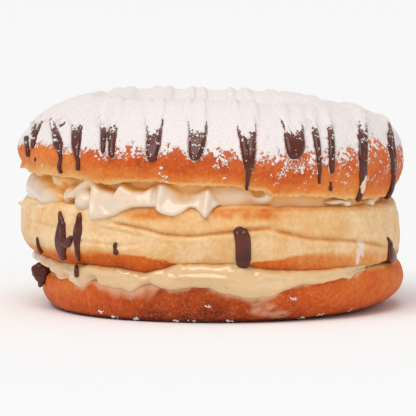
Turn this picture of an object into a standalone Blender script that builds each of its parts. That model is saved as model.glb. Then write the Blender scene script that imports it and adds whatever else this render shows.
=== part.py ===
"""Paris-brest: a ring of baked dough cut into three slices, with custard on the bottom slice,
whipped cream under the top one and a zigzag of chocolate piped over the crown.

Metres, +Z up.  The front of the ring is towards -Y.  Angles run round the ring from the
front (0) through +X (90 degrees) to the back (180).
"""

from math import asin, atan2, cos, exp, hypot, pi, radians, sin, sqrt

import bmesh
import bpy
from mathutils import Vector

MM = 0.001

# ---------------------------------------------------------------- driving dimensions
TUBE_CENTRE = 34.0 * MM        # radius of the dough tube's centre line
HOLE_RADIUS = 13.0 * MM        # radius of the hole at its tightest
CROWN_RADIUS = 54.6 * MM       # top slice at its widest
CROWN_HEIGHT = 58.9 * MM       # top of the dough, under the chocolate
CROWN_BELT = 42.6 * MM         # height at which the top slice is widest, on average
CROWN_CURVE = 1.6              # 2 is an ellipse, less is flatter at the shoulders
CROWN_UNDERCUT = 1.8 * MM      # how far the top slice draws in below its belt at the front

MIDDLE_RADIUS = 53.0 * MM
MIDDLE_SHOULDER = 3.0 * MM     # rounding of the middle slice's upper edge
MIDDLE_UNDERCUT = 2.3 * MM     # how far its browned underside draws in, on average
CREASE_DEPTH = 1.3 * MM        # the long fold round the middle slice

BASE_RADIUS = 51.6 * MM
BASE_BELT = 8.6 * MM           # height at which the bottom slice is widest
BASE_SHOULDER = 3.4 * MM       # rounding of its upper edge
BASE_FOOT = 46.0 * MM          # radius of the flat that it rests on
BASE_SHIFT = 2.4 * MM          # the bottom slice has slid this far towards +X

GAP = 0.3 * MM                 # clearance between pieces that touch
STEPS = 72                     # steps round the ring for the lower slices
CROWN_STEPS = 60               # and for the top slice, which the chocolate cuts up further
FILLING_STEPS = 90             # steps round the ring for cream and custard

CHOCOLATE = 1.25 * MM          # half the width of one chocolate stroke
STROKE_PROUD = 1.15 * MM       # how far a stroke stands above the dough
STROKE_FAN = 0.08              # strokes close up by this much towards the back


# ---------------------------------------------------------------- unevenness round the ring
def bump(angle, centre, width):
    """A smooth hump of height 1 at centre, width degrees to each side, wrapping at 360."""
    away = (angle - radians(centre) + pi) % (2 * pi) - pi
    return exp(-((away / radians(width)) ** 2))


def wave(angle, *terms):
    """A sum of ripples, each (count round the ring, size, phase in degrees)."""
    return sum(size * cos(count * angle - radians(phase)) for count, size, phase in terms)


# ---------------------------------------------------------------- where one layer meets the next
def base_top(angle):
    return (12.3 + 1.4 * sin(angle) + 0.3 * wave(angle, (3, 1, 40))) * MM


def middle_under(angle):
    lift = 1.9 * bump(angle, 1, 12) - 1.3 * bump(angle, -22, 10) + 0.5 * bump(angle, -85, 25)
    return (14.8 + lift + 0.5 * bump(angle, 180, 60) + 0.6 * bump(angle, 100, 45)) * MM


def middle_top(angle):
    return (30.9 + 0.8 * bump(angle, 0, 42) - 0.9 * bump(angle, 78, 34)
            + 0.2 * wave(angle, (4, 1, 10))) * MM


def crown_under(angle):
    """The top slice leans: 7 mm higher on the left than on the right, and it is arched."""
    return (35.4 - 3.5 * sin(angle) + 2.4 * bump(angle, -4, 21) + 1.2 * bump(angle, 170, 40)) * MM


def crown_top(angle):
    """The crest sinks towards both sides, and further on the right."""
    lean = -1.3 * sin(angle) - 1.6 * sin(angle) ** 2
    return CROWN_HEIGHT + (lean + 0.25 * wave(angle, (5, 1, 20))) * MM


# ---------------------------------------------------------------- outer skins of the dough slices
def crown_radius(angle):
    return CROWN_RADIUS + 0.35 * MM * wave(angle, (3, 1, 60), (5, 0.6, 0))


def crown_belt(angle):
    return CROWN_BELT - 1.7 * MM * sin(angle)


def crown_curve(angle):
    return CROWN_CURVE + 0.35 * sin(angle) + 0.25 * sin(angle) ** 2


def crown_undercut(angle):
    return CROWN_UNDERCUT * (1 + 0.8 * bump(angle, -90, 35) + 1.1 * bump(angle, 90, 30))


def crown_skin(angle, turn):
    """Radius and height on the top slice: turn 0 at the crest, 1 at the belt, 2 at the cut."""
    belt = crown_belt(angle)
    wide = crown_radius(angle)
    if turn > 1:
        drop = turn - 1
        return (wide - crown_undercut(angle) * drop ** 2,
                belt - (belt - crown_under(angle)) * drop)
    out = sin(turn * pi / 2) ** (2 / crown_curve(angle))
    up = max(cos(turn * pi / 2), 0) ** (2 / crown_curve(angle))
    return TUBE_CENTRE + (wide - TUBE_CENTRE) * out, belt + (crown_top(angle) - belt) * up


def crown_height(x, y):
    """Height of the crown's dough above a point of the plan, outside or inside the crest."""
    angle = atan2(x, -y)
    side = hypot(x, y) - TUBE_CENTRE
    half = crown_radius(angle) - TUBE_CENTRE if side > 0 else TUBE_CENTRE - HOLE_RADIUS
    out = min(abs(side) / half, 1)
    belt, curve = crown_belt(angle), crown_curve(angle)
    return belt + (crown_top(angle) - belt) * (1 - out ** curve) ** (1 / curve)


def crown_side_radius(angle, height):
    """Radius of the top slice's outer face at a height."""
    belt = crown_belt(angle)
    if height < belt:
        drop = min((belt - height) / (belt - crown_under(angle)), 1.0)
        return crown_skin(angle, 1 + drop)[0]
    up = min((height - belt) / (crown_top(angle) - belt), 1)
    out = (1 - up ** crown_curve(angle)) ** (1 / crown_curve(angle))
    return TUBE_CENTRE + (crown_radius(angle) - TUBE_CENTRE) * out


def middle_radius(angle):
    return MIDDLE_RADIUS + 0.4 * MM * wave(angle, (2, 1, 100), (7, 0.6, 30))


def middle_undercut(angle):
    return MIDDLE_UNDERCUT - 1.5 * MM * sin(angle)


def middle_skin(angle, turn):
    """Radius and height on the middle slice: turn 0 where the shoulder starts, 1 below it."""
    shoulder = MIDDLE_SHOULDER
    radius, top = middle_radius(angle), middle_top(angle)
    if turn > 1:
        return radius + 0.2 * MM, top - shoulder - (turn - 1) * shoulder
    return (radius - shoulder * (1 - sin(turn * pi / 2)),
            top - shoulder * (1 - cos(turn * pi / 2)))


def crease_height(angle):
    """The long fold sinks from left to right, and rises once near the front."""
    return (24.2 + 2.6 * bump(angle, -38, 22) + 2.2 * bump(angle, 14, 15)
            - 4.4 * bump(angle, 66, 34) + 1.0 * wave(angle, (2, 1, 200))) * MM


def crease_depth(angle):
    return CREASE_DEPTH * (0.25 + 0.75 * max(bump(angle, 0, 38), bump(angle, 48, 24),
                                             bump(angle, 160, 60)))


def base_radius(angle):
    return BASE_RADIUS + BASE_SHIFT * sin(angle) + 0.3 * MM * wave(angle, (3, 1, 150))


def base_skin(angle, turn):
    """Radius and height on the bottom slice: turn 0 at the cut, 1 at the belt, 2 at the foot."""
    wide = base_radius(angle)
    if turn <= 1:
        bend = turn * pi / 2
        rise = base_top(angle) - BASE_BELT
        return wide - BASE_SHOULDER * (1 - sin(bend)), BASE_BELT + rise * cos(bend)
    bend = (turn - 1) * pi / 2
    foot = BASE_FOOT - 7.0 * MM * bump(angle, 72, 36)
    return foot + (wide - foot) * cos(bend), BASE_BELT * (1 - sin(bend))


# ---------------------------------------------------------------- building blocks
def finish(material_name, colour, roughness):
    material = bpy.data.materials.new(material_name)
    material.use_nodes = True
    shader = material.node_tree.nodes["Principled BSDF"]
    shader.inputs["Base Color"].default_value = (*colour, 1)
    shader.inputs["Roughness"].default_value = roughness
    shader.inputs["Metallic"].default_value = 0
    material.diffuse_color = (*colour, 1)
    return material


def ring(name, section, steps, material):
    """A closed ring.  section(angle) gives its outline as (radius, height) points, always as
    many; the outline at the front is spun round Z, and each point then moved to its angle."""
    mesh = bpy.data.meshes.new(name)
    shape = bmesh.new()
    place = shape.verts.layers.int.new("place")
    outline = []
    for index, (radius, height) in enumerate(section(0)):
        vert = shape.verts.new((radius, 0, height))
        vert[place] = index
        outline.append(vert)
    edges = [shape.edges.new(pair) for pair in zip(outline, outline[1:] + outline[:1])]
    bmesh.ops.spin(shape, geom=outline + edges, cent=(0, 0, 0), axis=(0, 0, 1),
                   angle=2 * pi, steps=steps, use_merge=True)
    sections = {}
    for vert in shape.verts:
        angle = atan2(vert.co.x, -vert.co.y)
        key = round(angle * steps / (2 * pi)) % steps
        if key not in sections:
            sections[key] = section(angle)
        radius, height = sections[key][vert[place]]
        vert.co = (radius * sin(angle), -radius * cos(angle), height)
    bmesh.ops.triangulate(shape, faces=shape.faces[:])
    bmesh.ops.recalc_face_normals(shape, faces=shape.faces[:])
    shape.verts.layers.int.remove(place)
    shape.to_mesh(mesh)
    shape.free()
    mesh.materials.append(material)
    mesh.shade_smooth()
    body = bpy.data.objects.new(name, mesh)
    bpy.context.scene.collection.objects.link(body)
    return body


def strand(points, radii, sides, group):
    """A closed tube of chocolate through points, with a radius at each, put in group."""
    curve = bpy.data.curves.new("strand", "CURVE")
    curve.dimensions = "3D"
    curve.bevel_depth = 1.0
    curve.bevel_resolution = sides // 2 - 2
    curve.use_fill_caps = True
    line = curve.splines.new("POLY")
    line.points.add(len(points) - 1)
    for knot, point, radius in zip(line.points, points, radii):
        knot.co = (*point, 1)
        knot.radius = radius
    guide = bpy.data.objects.new("strand", curve)
    bpy.context.scene.collection.objects.link(guide)
    bpy.context.view_layer.update()
    solid = bpy.data.meshes.new_from_object(guide.evaluated_get(
        bpy.context.evaluated_depsgraph_get()))
    bpy.data.objects.remove(guide)
    shape = bmesh.new()
    shape.from_mesh(solid)
    bmesh.ops.remove_doubles(shape, verts=shape.verts[:], dist=0.00001)
    bmesh.ops.recalc_face_normals(shape, faces=shape.faces[:])
    shape.to_mesh(solid)
    shape.free()
    group.objects.link(bpy.data.objects.new("strand", solid))


def fuse(body, group, keep=1.0):
    """Join everything in group to body with one Boolean union, then clear the group.  The
    joint leaves many slivers; keep is the share of the faces left when they are merged."""
    join = body.modifiers.new("fuse", "BOOLEAN")
    join.operation = "UNION"
    join.operand_type = "COLLECTION"
    join.collection = group
    join.solver = "MANIFOLD"
    thin = body.modifiers.new("thin", "DECIMATE")
    thin.ratio = keep
    bpy.context.view_layer.update()
    fused = bpy.data.meshes.new_from_object(body.evaluated_get(
        bpy.context.evaluated_depsgraph_get()))
    body.modifiers.clear()
    body.data = fused
    for piece in list(group.objects):
        bpy.data.objects.remove(piece)
    bpy.data.collections.remove(group)


def chocolate_group(name):
    group = bpy.data.collections.new(name)
    bpy.context.scene.collection.children.link(group)
    return group


# ---------------------------------------------------------------- bottom slice
def base_section(angle):
    top = base_top(angle)
    outer = [base_skin(angle, turn) for turn in (2, 1.62, 1.3, 1, 0.62, 0.3, 0)]
    inner = [(HOLE_RADIUS + 2.6 * MM, top), (HOLE_RADIUS + 0.7 * MM, top * 0.6),
             (HOLE_RADIUS + 4.0 * MM, 0)]
    return outer + inner


# ---------------------------------------------------------------- fillings
def filling_section(angle, floor, ceiling, skin, hang, reach, inside, neck, sag):
    """Outline of a filling squeezed between two slices.  It hangs over the slice below by a
    number of turns of its skin, or stays inside it where reach is short of the edge.  neck is
    how far the face draws in under the slice above, and sag how far it falls short of it."""
    edge = skin(angle, 0)[0]
    if reach < edge + 1.2 * MM:
        low = floor
        lip = [(reach - back * MM, floor) for back in (0.4, 0.9, 1.4, 2.0)]
    else:
        tip, low = skin(angle, hang)
        lip = [(tip + 0.7 * MM, low - 0.1 * MM)]
        for share in (0.67, 0.33):
            radius, height = skin(angle, hang * share)
            lip.append((radius + 0.42 * MM, height + 0.35 * MM))
        lip.append((edge, floor + 0.05 * MM))
        reach = max(reach, tip + 0.9 * MM)
    face = ceiling - sag - low
    return [
        (inside, floor),
        (inside, ceiling),
        (reach - neck - 5.5 * MM, ceiling),
        (reach - neck, ceiling - sag),
        (reach - 0.2 * MM, low + 0.6 * face),
        (reach, low + 0.3 * face),
    ] + lip


# Lobes of custard: where each is and how far round it spreads (degrees), and how far it hangs.
CUSTARD_LOBES = (
    (-44, 5, 0.55), (-30, 8, 0.75), (-11, 8, 0.65), (13, 10, 0.9), (28, 8, 0.35),
    (175, 14, 0.5), (218, 10, 0.45), (140, 9, 0.4), (-100, 9, 0.2),
)


def custard_section(angle):
    hang = 0.35 + sum(size * bump(angle, centre, wide) for centre, wide, size in CUSTARD_LOBES)
    fill = 1 - bump(angle, 88, 26)
    edge = base_skin(angle, 0)[0]
    ripple = 0.35 * wave(angle, (11, 1, 0), (17, 0.6, 80))
    reach = edge + (5.4 * fill - 1.5 + ripple) * MM
    return filling_section(angle, base_top(angle) + GAP, middle_under(angle) - GAP, base_skin,
                           hang, reach, HOLE_RADIUS + 3.0 * MM, 1.6 * MM, 0)


# ---------------------------------------------------------------- middle slice
def middle_section(angle):
    radius, top, under = middle_radius(angle), middle_top(angle), middle_under(angle)
    fold, depth = crease_height(angle), crease_depth(angle)
    shoulder = [middle_skin(angle, turn) for turn in (1, 0.5, 0)]
    lower = [
        (radius - middle_undercut(angle), under),
        (radius - 0.3 * middle_undercut(angle), under + 2.2 * MM),
        (radius + 0.3 * MM, (under + 2.0 * MM + fold) / 2),
        (radius - 0.1 * MM, fold - 1.4 * MM),
        (radius - depth, fold),
        (radius + 0.3 * MM, fold + 0.9 * MM),
    ]
    inner = [(HOLE_RADIUS + 1.8 * MM, top), (HOLE_RADIUS, (top + under) / 2),
             (HOLE_RADIUS + 1.8 * MM, under)]
    return lower + shoulder + inner


# ---------------------------------------------------------------- whipped cream
# Where each piped lobe of the edge is (degrees) and how far it hangs over the slice below.
CREAM_LOBES = (
    (-94, 0.3), (-72, 0.3), (-58, 0.15), (-46, 0.3), (-35, 0.95), (-24, 0.3), (-11, 0.7),
    (-1.5, 0.75), (12, 0.2), (22, 0.1),
    (-108, 0.6), (-121, 0.3), (-135, 0.8), (-148, 0.2), (-160, 0.6), (-172, 0.4),
    (176, 0.8), (163, 0.5), (151, 0.3),
)
LOBE_WIDTH = 5.4               # degrees to each side of a lobe's middle


def cream_lobe(angle):
    """1 at the middle of a piped lobe, 0 between two."""
    return max(bump(angle, centre, LOBE_WIDTH) for centre, _ in CREAM_LOBES)


def cream_hang(angle):
    """How far the cream hangs over the middle slice, in turns of its skin."""
    return 0.1 + max(hang * bump(angle, centre, LOBE_WIDTH) for centre, hang in CREAM_LOBES)


def cream_fill(angle):
    """1 where the cream reaches the edge, falling to 0 where the slices pinch it in."""
    return 1 - min(1, 1.3 * bump(angle, 44, 15) + bump(angle, 88, 36) + 0.4 * bump(angle, 140, 12))


def cream_section(angle):
    floor, ceiling = middle_top(angle) + GAP, crown_under(angle) - GAP
    lobe, fill = cream_lobe(angle), cream_fill(angle)
    edge = middle_skin(angle, 0)[0]
    reach = edge + (fill * (4.2 + (1.6 + 0.8 * cos(angle)) * lobe) - 3.6) * MM
    neck = (1.4 + 2.4 * (1 - lobe)) * MM
    sag = (1 - lobe) * fill * 0.42 * (ceiling - floor)
    return filling_section(angle, floor, ceiling, middle_skin, cream_hang(angle), reach,
                           HOLE_RADIUS + 2.4 * MM, neck, sag)


# ---------------------------------------------------------------- top slice
def crown_section(angle):
    outer = [crown_skin(angle, turn) for turn in (2, 1.5, 1, 0.72, 0.4)]
    top, belt, under = crown_top(angle), crown_belt(angle), crown_under(angle)
    inner = []
    for turn in (0.05, 0.5, 1):
        out = sin(turn * pi / 2) ** (2 / crown_curve(angle))
        up = max(cos(turn * pi / 2), 0) ** (2 / crown_curve(angle))
        inner.append((TUBE_CENTRE - (TUBE_CENTRE - HOLE_RADIUS) * out, belt + (top - belt) * up))
    return outer + inner + [(HOLE_RADIUS + 1.6 * MM, under)]


# ---------------------------------------------------------------- chocolate over the top slice
# Each loop of the zigzag at the front: x of its two strokes (mm), height of its turn (mm),
# and how low its drip runs (mm), or None where it has none.
FRONT_LOOPS = (
    (-45.1, -41.5, 48.5, 42.0),
    (-39.2, -35.9, 48.5, 42.5),
    (-30.2, -27.6, 47.5, None),
    (-17.6, -14.2, 46.5, None),
    (-6.0, -2.1, 47.0, None),
    (8.3, 11.7, 44.5, 38.4),
    (20.7, 24.9, 47.0, None),
    (29.7, 33.3, 41.0, 38.0),
)
# Single strokes at the two ends of the zigzag: x, and the height their front ends reach.
FRONT_ENDS = ((-51.9, 45.0), (-48.8, 47.0), (42.6, 34.6), (50.8, 34.0))
# The turns at the back join each stroke to its neighbour in the next loop.
BACK_TURN = 47.5


def on_crown(x, height, back=False):
    """A point of the top slice's outer face, and the direction in which the face looks."""
    angle = asin(x / CROWN_RADIUS)
    for _ in range(4):
        turned = pi - angle if back else angle
        radius = crown_side_radius(turned, height)
        angle = asin(max(-0.999, min(0.999, x / radius)))
    turned = pi - angle if back else angle
    slope = (crown_side_radius(turned, height - 0.5 * MM)
             - crown_side_radius(turned, height + 0.5 * MM)) / MM
    out = Vector((sin(turned), -cos(turned), max(min(slope, 3), -1))).normalized()
    return Vector((radius * sin(turned), -radius * cos(turned), height)), out


def stroke_over_crown(x, group):
    """One pass of chocolate from the front face to the back face, broken over the hole."""
    reach = sqrt((0.975 * CROWN_RADIUS) ** 2 - x ** 2)
    run = []
    for step in range(-5, 6):
        y = reach * sin(step / 5 * pi / 2)
        across = x * (1 - STROKE_FAN * (y / CROWN_RADIUS + 0.6))
        point = Vector((across, y, crown_height(across, y)))
        if hypot(across, y) < HOLE_RADIUS + 4.5 * MM:
            point = None
        run.append(point)
    pieces = [[]]
    for point in run:
        if point is None:
            pieces.append([])
        else:
            pieces[-1].append(point)
    for piece in pieces:
        if len(piece) > 2:
            raised = [point + Vector((0, 0, STROKE_PROUD - CHOCOLATE)) for point in piece]
            strand(raised, [CHOCOLATE] * len(raised), 4, group)


def drip_on_crown(x, start, end, width, tip, group, back=False):
    """Chocolate that has run down the face from one height to another, thinning to tip."""
    count = max(3, round((start - end) / (2.5 * MM)) + 1)
    points, radii = [], []
    for step in range(count):
        share = step / (count - 1)
        surface, out = on_crown(x, start + (end - start) * share, back)
        radius = width + (tip - width) * share
        points.append(surface + out * (min(radius, STROKE_PROUD) - radius))
        radii.append(radius)
    strand(points, radii, 6, group)


def turn_on_crown(left, right, height, group, back=False):
    """The bend that joins two strokes, with the chocolate that has pooled in it."""
    middle, half = (left + right) / 2, abs(right - left) / 2
    points = []
    for step in range(5):
        bend = pi * step / 4
        surface, out = on_crown(middle - half * cos(bend),
                                height + 1.5 * MM - (half + 1.5 * MM) * sin(bend), back)
        points.append(surface + out * (STROKE_PROUD - CHOCOLATE))
    strand(points, [CHOCOLATE] * 5, 4, group)
    if half < 3 * MM and not back:
        drip_on_crown(middle, height + 1.0 * MM, height - half * 0.8, half + 0.3 * MM,
                      half * 0.9, group)


def crown_chocolate(group):
    strokes = []
    for left, right, turn, drip in FRONT_LOOPS:
        left, right, turn = left * MM, right * MM, turn * MM
        strokes += [left, right]
        turn_on_crown(left, right, turn, group)
        if drip is not None:
            drip_on_crown((left + right) / 2, turn, drip * MM, 1.5 * MM, 0.5 * MM, group)
    for x, low in FRONT_ENDS:
        strokes.append(x * MM)
        drip_on_crown(x * MM, 49 * MM, low * MM, 1.2 * MM, 0.9 * MM, group)
    strokes.sort()
    for x in strokes:
        stroke_over_crown(x, group)
    for left, right in zip(strokes[1:-1:2], strokes[2::2]):
        squeeze = 1 - STROKE_FAN * 1.6
        turn_on_crown(left * squeeze, right * squeeze, BACK_TURN * MM, group, back=True)


# ---------------------------------------------------------------- stray chocolate lower down
def drip_on_ring(x, start, end, radii, radius_at, group):
    """A run of chocolate on the front of a lower slice, radii given from top to bottom (mm)."""
    points = []
    for step in range(len(radii)):
        height = (start + (end - start) * step / (len(radii) - 1)) * MM
        reach = MIDDLE_RADIUS
        for _ in range(3):
            angle = asin(x * MM / reach)
            reach = radius_at(angle, height)
        out = Vector((sin(angle), -cos(angle), 0))
        sunk = max(radii[step] * MM - STROKE_PROUD, 0)
        points.append(Vector((reach * sin(angle), -reach * cos(angle), height)) - out * sunk)
    strand(points, [radius * MM for radius in radii], 6, group)


def middle_face(angle, height):
    return middle_radius(angle) - 0.1 * MM


def base_face(angle, height):
    low, high = 0.0, 2.0
    for _ in range(20):
        turn = (low + high) / 2
        if base_skin(angle, turn)[1] > height:
            low = turn
        else:
            high = turn
    return base_skin(angle, low)[0]


MIDDLE_DRIPS = (
    # x, top, bottom (mm), radii from top to bottom (mm)
    (-41.6, 29.4, 18.6, (0.35, 1.2, 1.6, 1.5, 1.1)),
    (-37.4, 29.2, 18.8, (0.4, 1.1, 1.2, 0.6, 0.5)),
    (8.7, 27.2, 17.6, (1.9, 2.3, 2.3, 2.3, 1.6)),
    (50.4, 20.6, 17.0, (0.6, 1.5, 1.3)),
)
BASE_DRIPS = (
    (-47.6, 9.6, 6.4, (1.0, 2.0, 1.1)),
)


def build():
    crust = finish("crust", (0.60, 0.17, 0.05), 0.55)
    crumb = finish("crumb", (0.78, 0.53, 0.28), 0.6)
    cream = finish("cream", (0.86, 0.72, 0.52), 0.35)
    custard = finish("custard", (0.82, 0.62, 0.33), 0.3)
    sugared = finish("sugared_crust", (0.86, 0.79, 0.75), 0.85)

    base = ring("bottom_layer", base_section, STEPS, crust)
    ring("custard", custard_section, FILLING_STEPS, custard)
    middle = ring("middle_layer", middle_section, STEPS, crumb)
    ring("whipped_cream", cream_section, FILLING_STEPS, cream)
    crown = ring("top_layer", crown_section, CROWN_STEPS, sugared)

    group = chocolate_group("crown_chocolate")
    crown_chocolate(group)
    fuse(crown, group, keep=0.76)

    group = chocolate_group("middle_chocolate")
    for x, start, end, radii in MIDDLE_DRIPS:
        drip_on_ring(x, start, end, radii, middle_face, group)
    fuse(middle, group)

    group = chocolate_group("base_chocolate")
    for x, start, end, radii in BASE_DRIPS:
        drip_on_ring(x, start, end, radii, base_face, group)
    fuse(base, group)


for leftover in list(bpy.data.objects):
    bpy.data.objects.remove(leftover)
build()
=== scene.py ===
"""Paris-brest: a ring of baked dough in three slices, with custard and whipped cream between
them, a zigzag of chocolate over the crown and icing sugar over that.

Metres, +Z up, the front of the ring towards -Y.  Angles run round the ring from the front (0)
through +X (90 degrees) to the back (180).
"""

from math import atan2, cos, hypot, pi, radians, sin
from random import Random

import bmesh
import bpy
import numpy as np
from mathutils import Matrix, Vector
from mathutils.bvhtree import BVHTree


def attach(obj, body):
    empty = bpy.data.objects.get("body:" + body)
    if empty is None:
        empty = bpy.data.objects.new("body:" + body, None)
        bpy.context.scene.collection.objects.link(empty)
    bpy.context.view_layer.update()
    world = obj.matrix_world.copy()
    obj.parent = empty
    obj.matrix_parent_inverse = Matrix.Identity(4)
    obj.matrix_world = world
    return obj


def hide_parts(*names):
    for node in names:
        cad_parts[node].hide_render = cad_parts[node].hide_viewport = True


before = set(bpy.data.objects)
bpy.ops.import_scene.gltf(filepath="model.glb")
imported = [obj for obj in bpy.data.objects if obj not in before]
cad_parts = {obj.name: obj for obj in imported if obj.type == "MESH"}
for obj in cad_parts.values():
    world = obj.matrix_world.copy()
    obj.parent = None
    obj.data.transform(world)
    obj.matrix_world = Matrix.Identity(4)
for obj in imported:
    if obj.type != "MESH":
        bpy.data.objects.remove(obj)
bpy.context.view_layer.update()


# ------------------------------------------------------------
# Bottom slice.  The foot of the baked ring: a soft, airy dough with a thin browned skin, painted
# darker towards the foot as shade and contact shadow.  It was cut level with a bread knife, and
# the cut is pale.
MM = 0.001
HOLE_RADIUS = 13.0 * MM
BASE_RADIUS = 51.6 * MM
BASE_BELT = 8.6 * MM
BASE_SHOULDER = 3.4 * MM
BASE_FOOT = 46.0 * MM
BASE_SHIFT = 2.4 * MM


def bump(angle, centre, width):
    """A smooth hump of height 1 at centre, width degrees to each side, wrapping at 360."""
    away = (angle - np.radians(centre) + pi) % (2 * pi) - pi
    return np.exp(-(away / np.radians(width)) ** 2)


def wave(angle, *terms):
    """A sum of ripples, each (count round the ring, size, phase in degrees)."""
    return sum(size * np.cos(count * angle - radians(phase)) for count, size, phase in terms)


def smooth(low, high, value):
    """0 below low, 1 above high, and an even S between."""
    share = np.clip((value - low) / (high - low), 0, 1)
    return share * share * (3 - 2 * share)


def lumps(points, size, octaves=3, seed=0):
    """Soft random relief, about -1 to 1, with features of a size in metres."""
    total = np.zeros(len(points))
    for octave in range(octaves):
        cells = points * 2.1 ** octave / size + 31.7 * (seed + octave)
        corner = np.floor(cells)
        part = cells - corner
        ease = part * part * (3 - 2 * part)
        for step in np.ndindex(2, 2, 2):
            knot = (corner + step).astype(np.int64) * (73856093, 19349663, 83492791)
            key = np.bitwise_xor.reduce(knot, axis=1)
            slant = np.stack([(key * prime >> 9 & 1023) / 511.5 - 1 for prime in (31, 57, 101)])
            near = np.prod(np.where(step, ease, 1 - ease), axis=1)
            total += 0.5 ** octave * near * (slant.T * (part - step)).sum(axis=1)
    return 1.4 * total


def rounded(outlines, per_span):
    """Closed outlines through the same points, with per_span points to each span."""
    before, start, end, after = (np.roll(outlines, turn, axis=1) for turn in (1, 0, -1, -2))

    def length(a, b):
        return np.sqrt(np.linalg.norm(b - a, axis=-1, keepdims=True)) + 1e-9

    last, here, then = length(before, start), length(start, end), length(end, after)
    leave = (end - start) + here * ((start - before) / last - (end - before) / (last + here))
    arrive = (end - start) + here * ((after - end) / then - (after - start) / (here + then))
    t = np.linspace(0, 1, per_span, endpoint=False)[:, None]
    start, end, leave, arrive = (part[..., None, :] for part in (start, end, leave, arrive))
    curve = ((2 * (start - end) + leave + arrive) * t ** 3
             + (3 * (end - start) - 2 * leave - arrive) * t ** 2 + leave * t + start)
    return curve.reshape(len(outlines), -1, 2)


def ring(name, section, steps, per_span):
    """A closed ring.  section(angles) gives its outline as (radius, height) points, each for
    all the angles at once.  A grid is rolled up, steps round Z and once round the rounded
    outline, and joined along both seams."""
    angles = np.arange(steps) * (2 * pi / steps)
    outlines = np.array([[part + 0 * angles for part in point] for point in section(angles)])
    outlines = rounded(np.moveaxis(outlines, 2, 0), per_span)
    rows = outlines.shape[1]
    shape = bmesh.new()
    bmesh.ops.create_grid(shape, x_segments=steps, y_segments=rows, size=1)
    for vert in shape.verts:
        step = round((vert.co.x + 1) / 2 * steps) % steps
        radius, height = outlines[step, round((vert.co.y + 1) / 2 * rows) % rows]
        vert.co = (radius * sin(angles[step]), -radius * cos(angles[step]), height)
    bmesh.ops.remove_doubles(shape, verts=shape.verts[:], dist=1e-7)
    bmesh.ops.recalc_face_normals(shape, faces=shape.faces[:])
    return to_object(name, shape)


def to_object(name, shape):
    """A smooth-shaded object at the origin from a bmesh, which is then freed."""
    mesh = bpy.data.meshes.new(name)
    shape.to_mesh(mesh)
    shape.free()
    mesh.shade_smooth()
    body = bpy.data.objects.new(name, mesh)
    bpy.context.scene.collection.objects.link(body)
    return body


def places(body):
    """The mesh's points and their normals, as two arrays."""
    mesh = body.data
    points = np.empty(len(mesh.vertices) * 3)
    mesh.vertices.foreach_get("co", points)
    normals = np.empty(len(mesh.vertices) * 3)
    mesh.vertex_normals.foreach_get("vector", normals)
    return points.reshape(-1, 3), normals.reshape(-1, 3)


def move(body, points):
    body.data.vertices.foreach_set("co", points.ravel())
    body.data.update()


def around(points):
    """The angle round the ring of each point."""
    return np.arctan2(points[:, 0], -points[:, 1])


def push_out(body, amount):
    """Move each point along its normal by amount(points, angles)."""
    points, normals = places(body)
    move(body, points + normals * amount(points, around(points))[:, None])


def paint(body, name, value):
    """Keep value(points, normals, angles) on each point, for the material to read."""
    points, normals = places(body)
    layer = body.data.attributes.new(name, "FLOAT", "POINT")
    layer.data.foreach_set("value", np.clip(value(points, normals, around(points)), 0, 1))


def tone(red, green, blue):
    """A colour given as a screen shows it, 0 to 255, in the renderer's linear scale."""
    return tuple(((part / 255 + 0.055) / 1.055) ** 2.4 if part > 10 else part / 3294.6
                 for part in (red, green, blue)) + (1.0,)


def add(tree, kind, inputs=(), **settings):
    """A shader node with its settings, and its inputs as values or as links."""
    made = tree.nodes.new("ShaderNode" + kind)
    for key, value in settings.items():
        setattr(made, key, value)
    for key, value in dict(inputs).items():
        if isinstance(value, bpy.types.NodeSocket):
            tree.links.new(value, made.inputs[key])
        else:
            made.inputs[key].default_value = value
    return made


def calc(tree, operation, first, second=0.5, third=0.5, clamp=False):
    """One sum on values or links."""
    made = add(tree, "Math", {0: first, 1: second, 2: third}, operation=operation,
               use_clamp=clamp)
    return made.outputs[0]


def blend(tree, share, first, second):
    """Two colours mixed."""
    return add(tree, "Mix", {0: share, 6: first, 7: second}, data_type="RGBA").outputs[2]


def grain(tree, size, detail=2.0, seed=0.0):
    """A random pattern, 0 to 1, with features of a size in metres."""
    where = add(tree, "TexCoord").outputs["Object"]
    made = add(tree, "TexNoise", {"Vector": where, "Scale": 1 / size, "Detail": detail,
                                  "W": seed}, noise_dimensions="4D")
    return made.outputs["Fac"]


def band(tree, value, low, high):
    """0 where value is below low, 1 above high, with a soft step between."""
    made = add(tree, "MapRange", {"Value": value, "From Min": low, "From Max": high},
               interpolation_type="SMOOTHSTEP")
    return made.outputs[0]


def painted(tree, name):
    """A value that paint() kept on the mesh."""
    return add(tree, "Attribute", attribute_name=name, attribute_type="GEOMETRY").outputs["Fac"]


def bumps(tree, *layers):
    """A normal from several reliefs, each (height 0 to 1, depth in metres)."""
    normal = None
    for height, depth in layers:
        inputs = {"Height": height, "Distance": depth, "Strength": 1.0}
        if normal is not None:
            inputs["Normal"] = normal
        normal = add(tree, "Bump", inputs).outputs[0]
    return normal


def new_finish(name, **shader_values):
    """A Principled material, its constant sockets set, and its node tree and shader."""
    material = bpy.data.materials.new(name)
    material.use_nodes = True
    tree = material.node_tree
    shader = tree.nodes["Principled BSDF"]
    for key, value in shader_values.items():
        shader.inputs[key.replace("_", " ").title().replace("Ior", "IOR")].default_value = value
    return material, tree, shader


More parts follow.
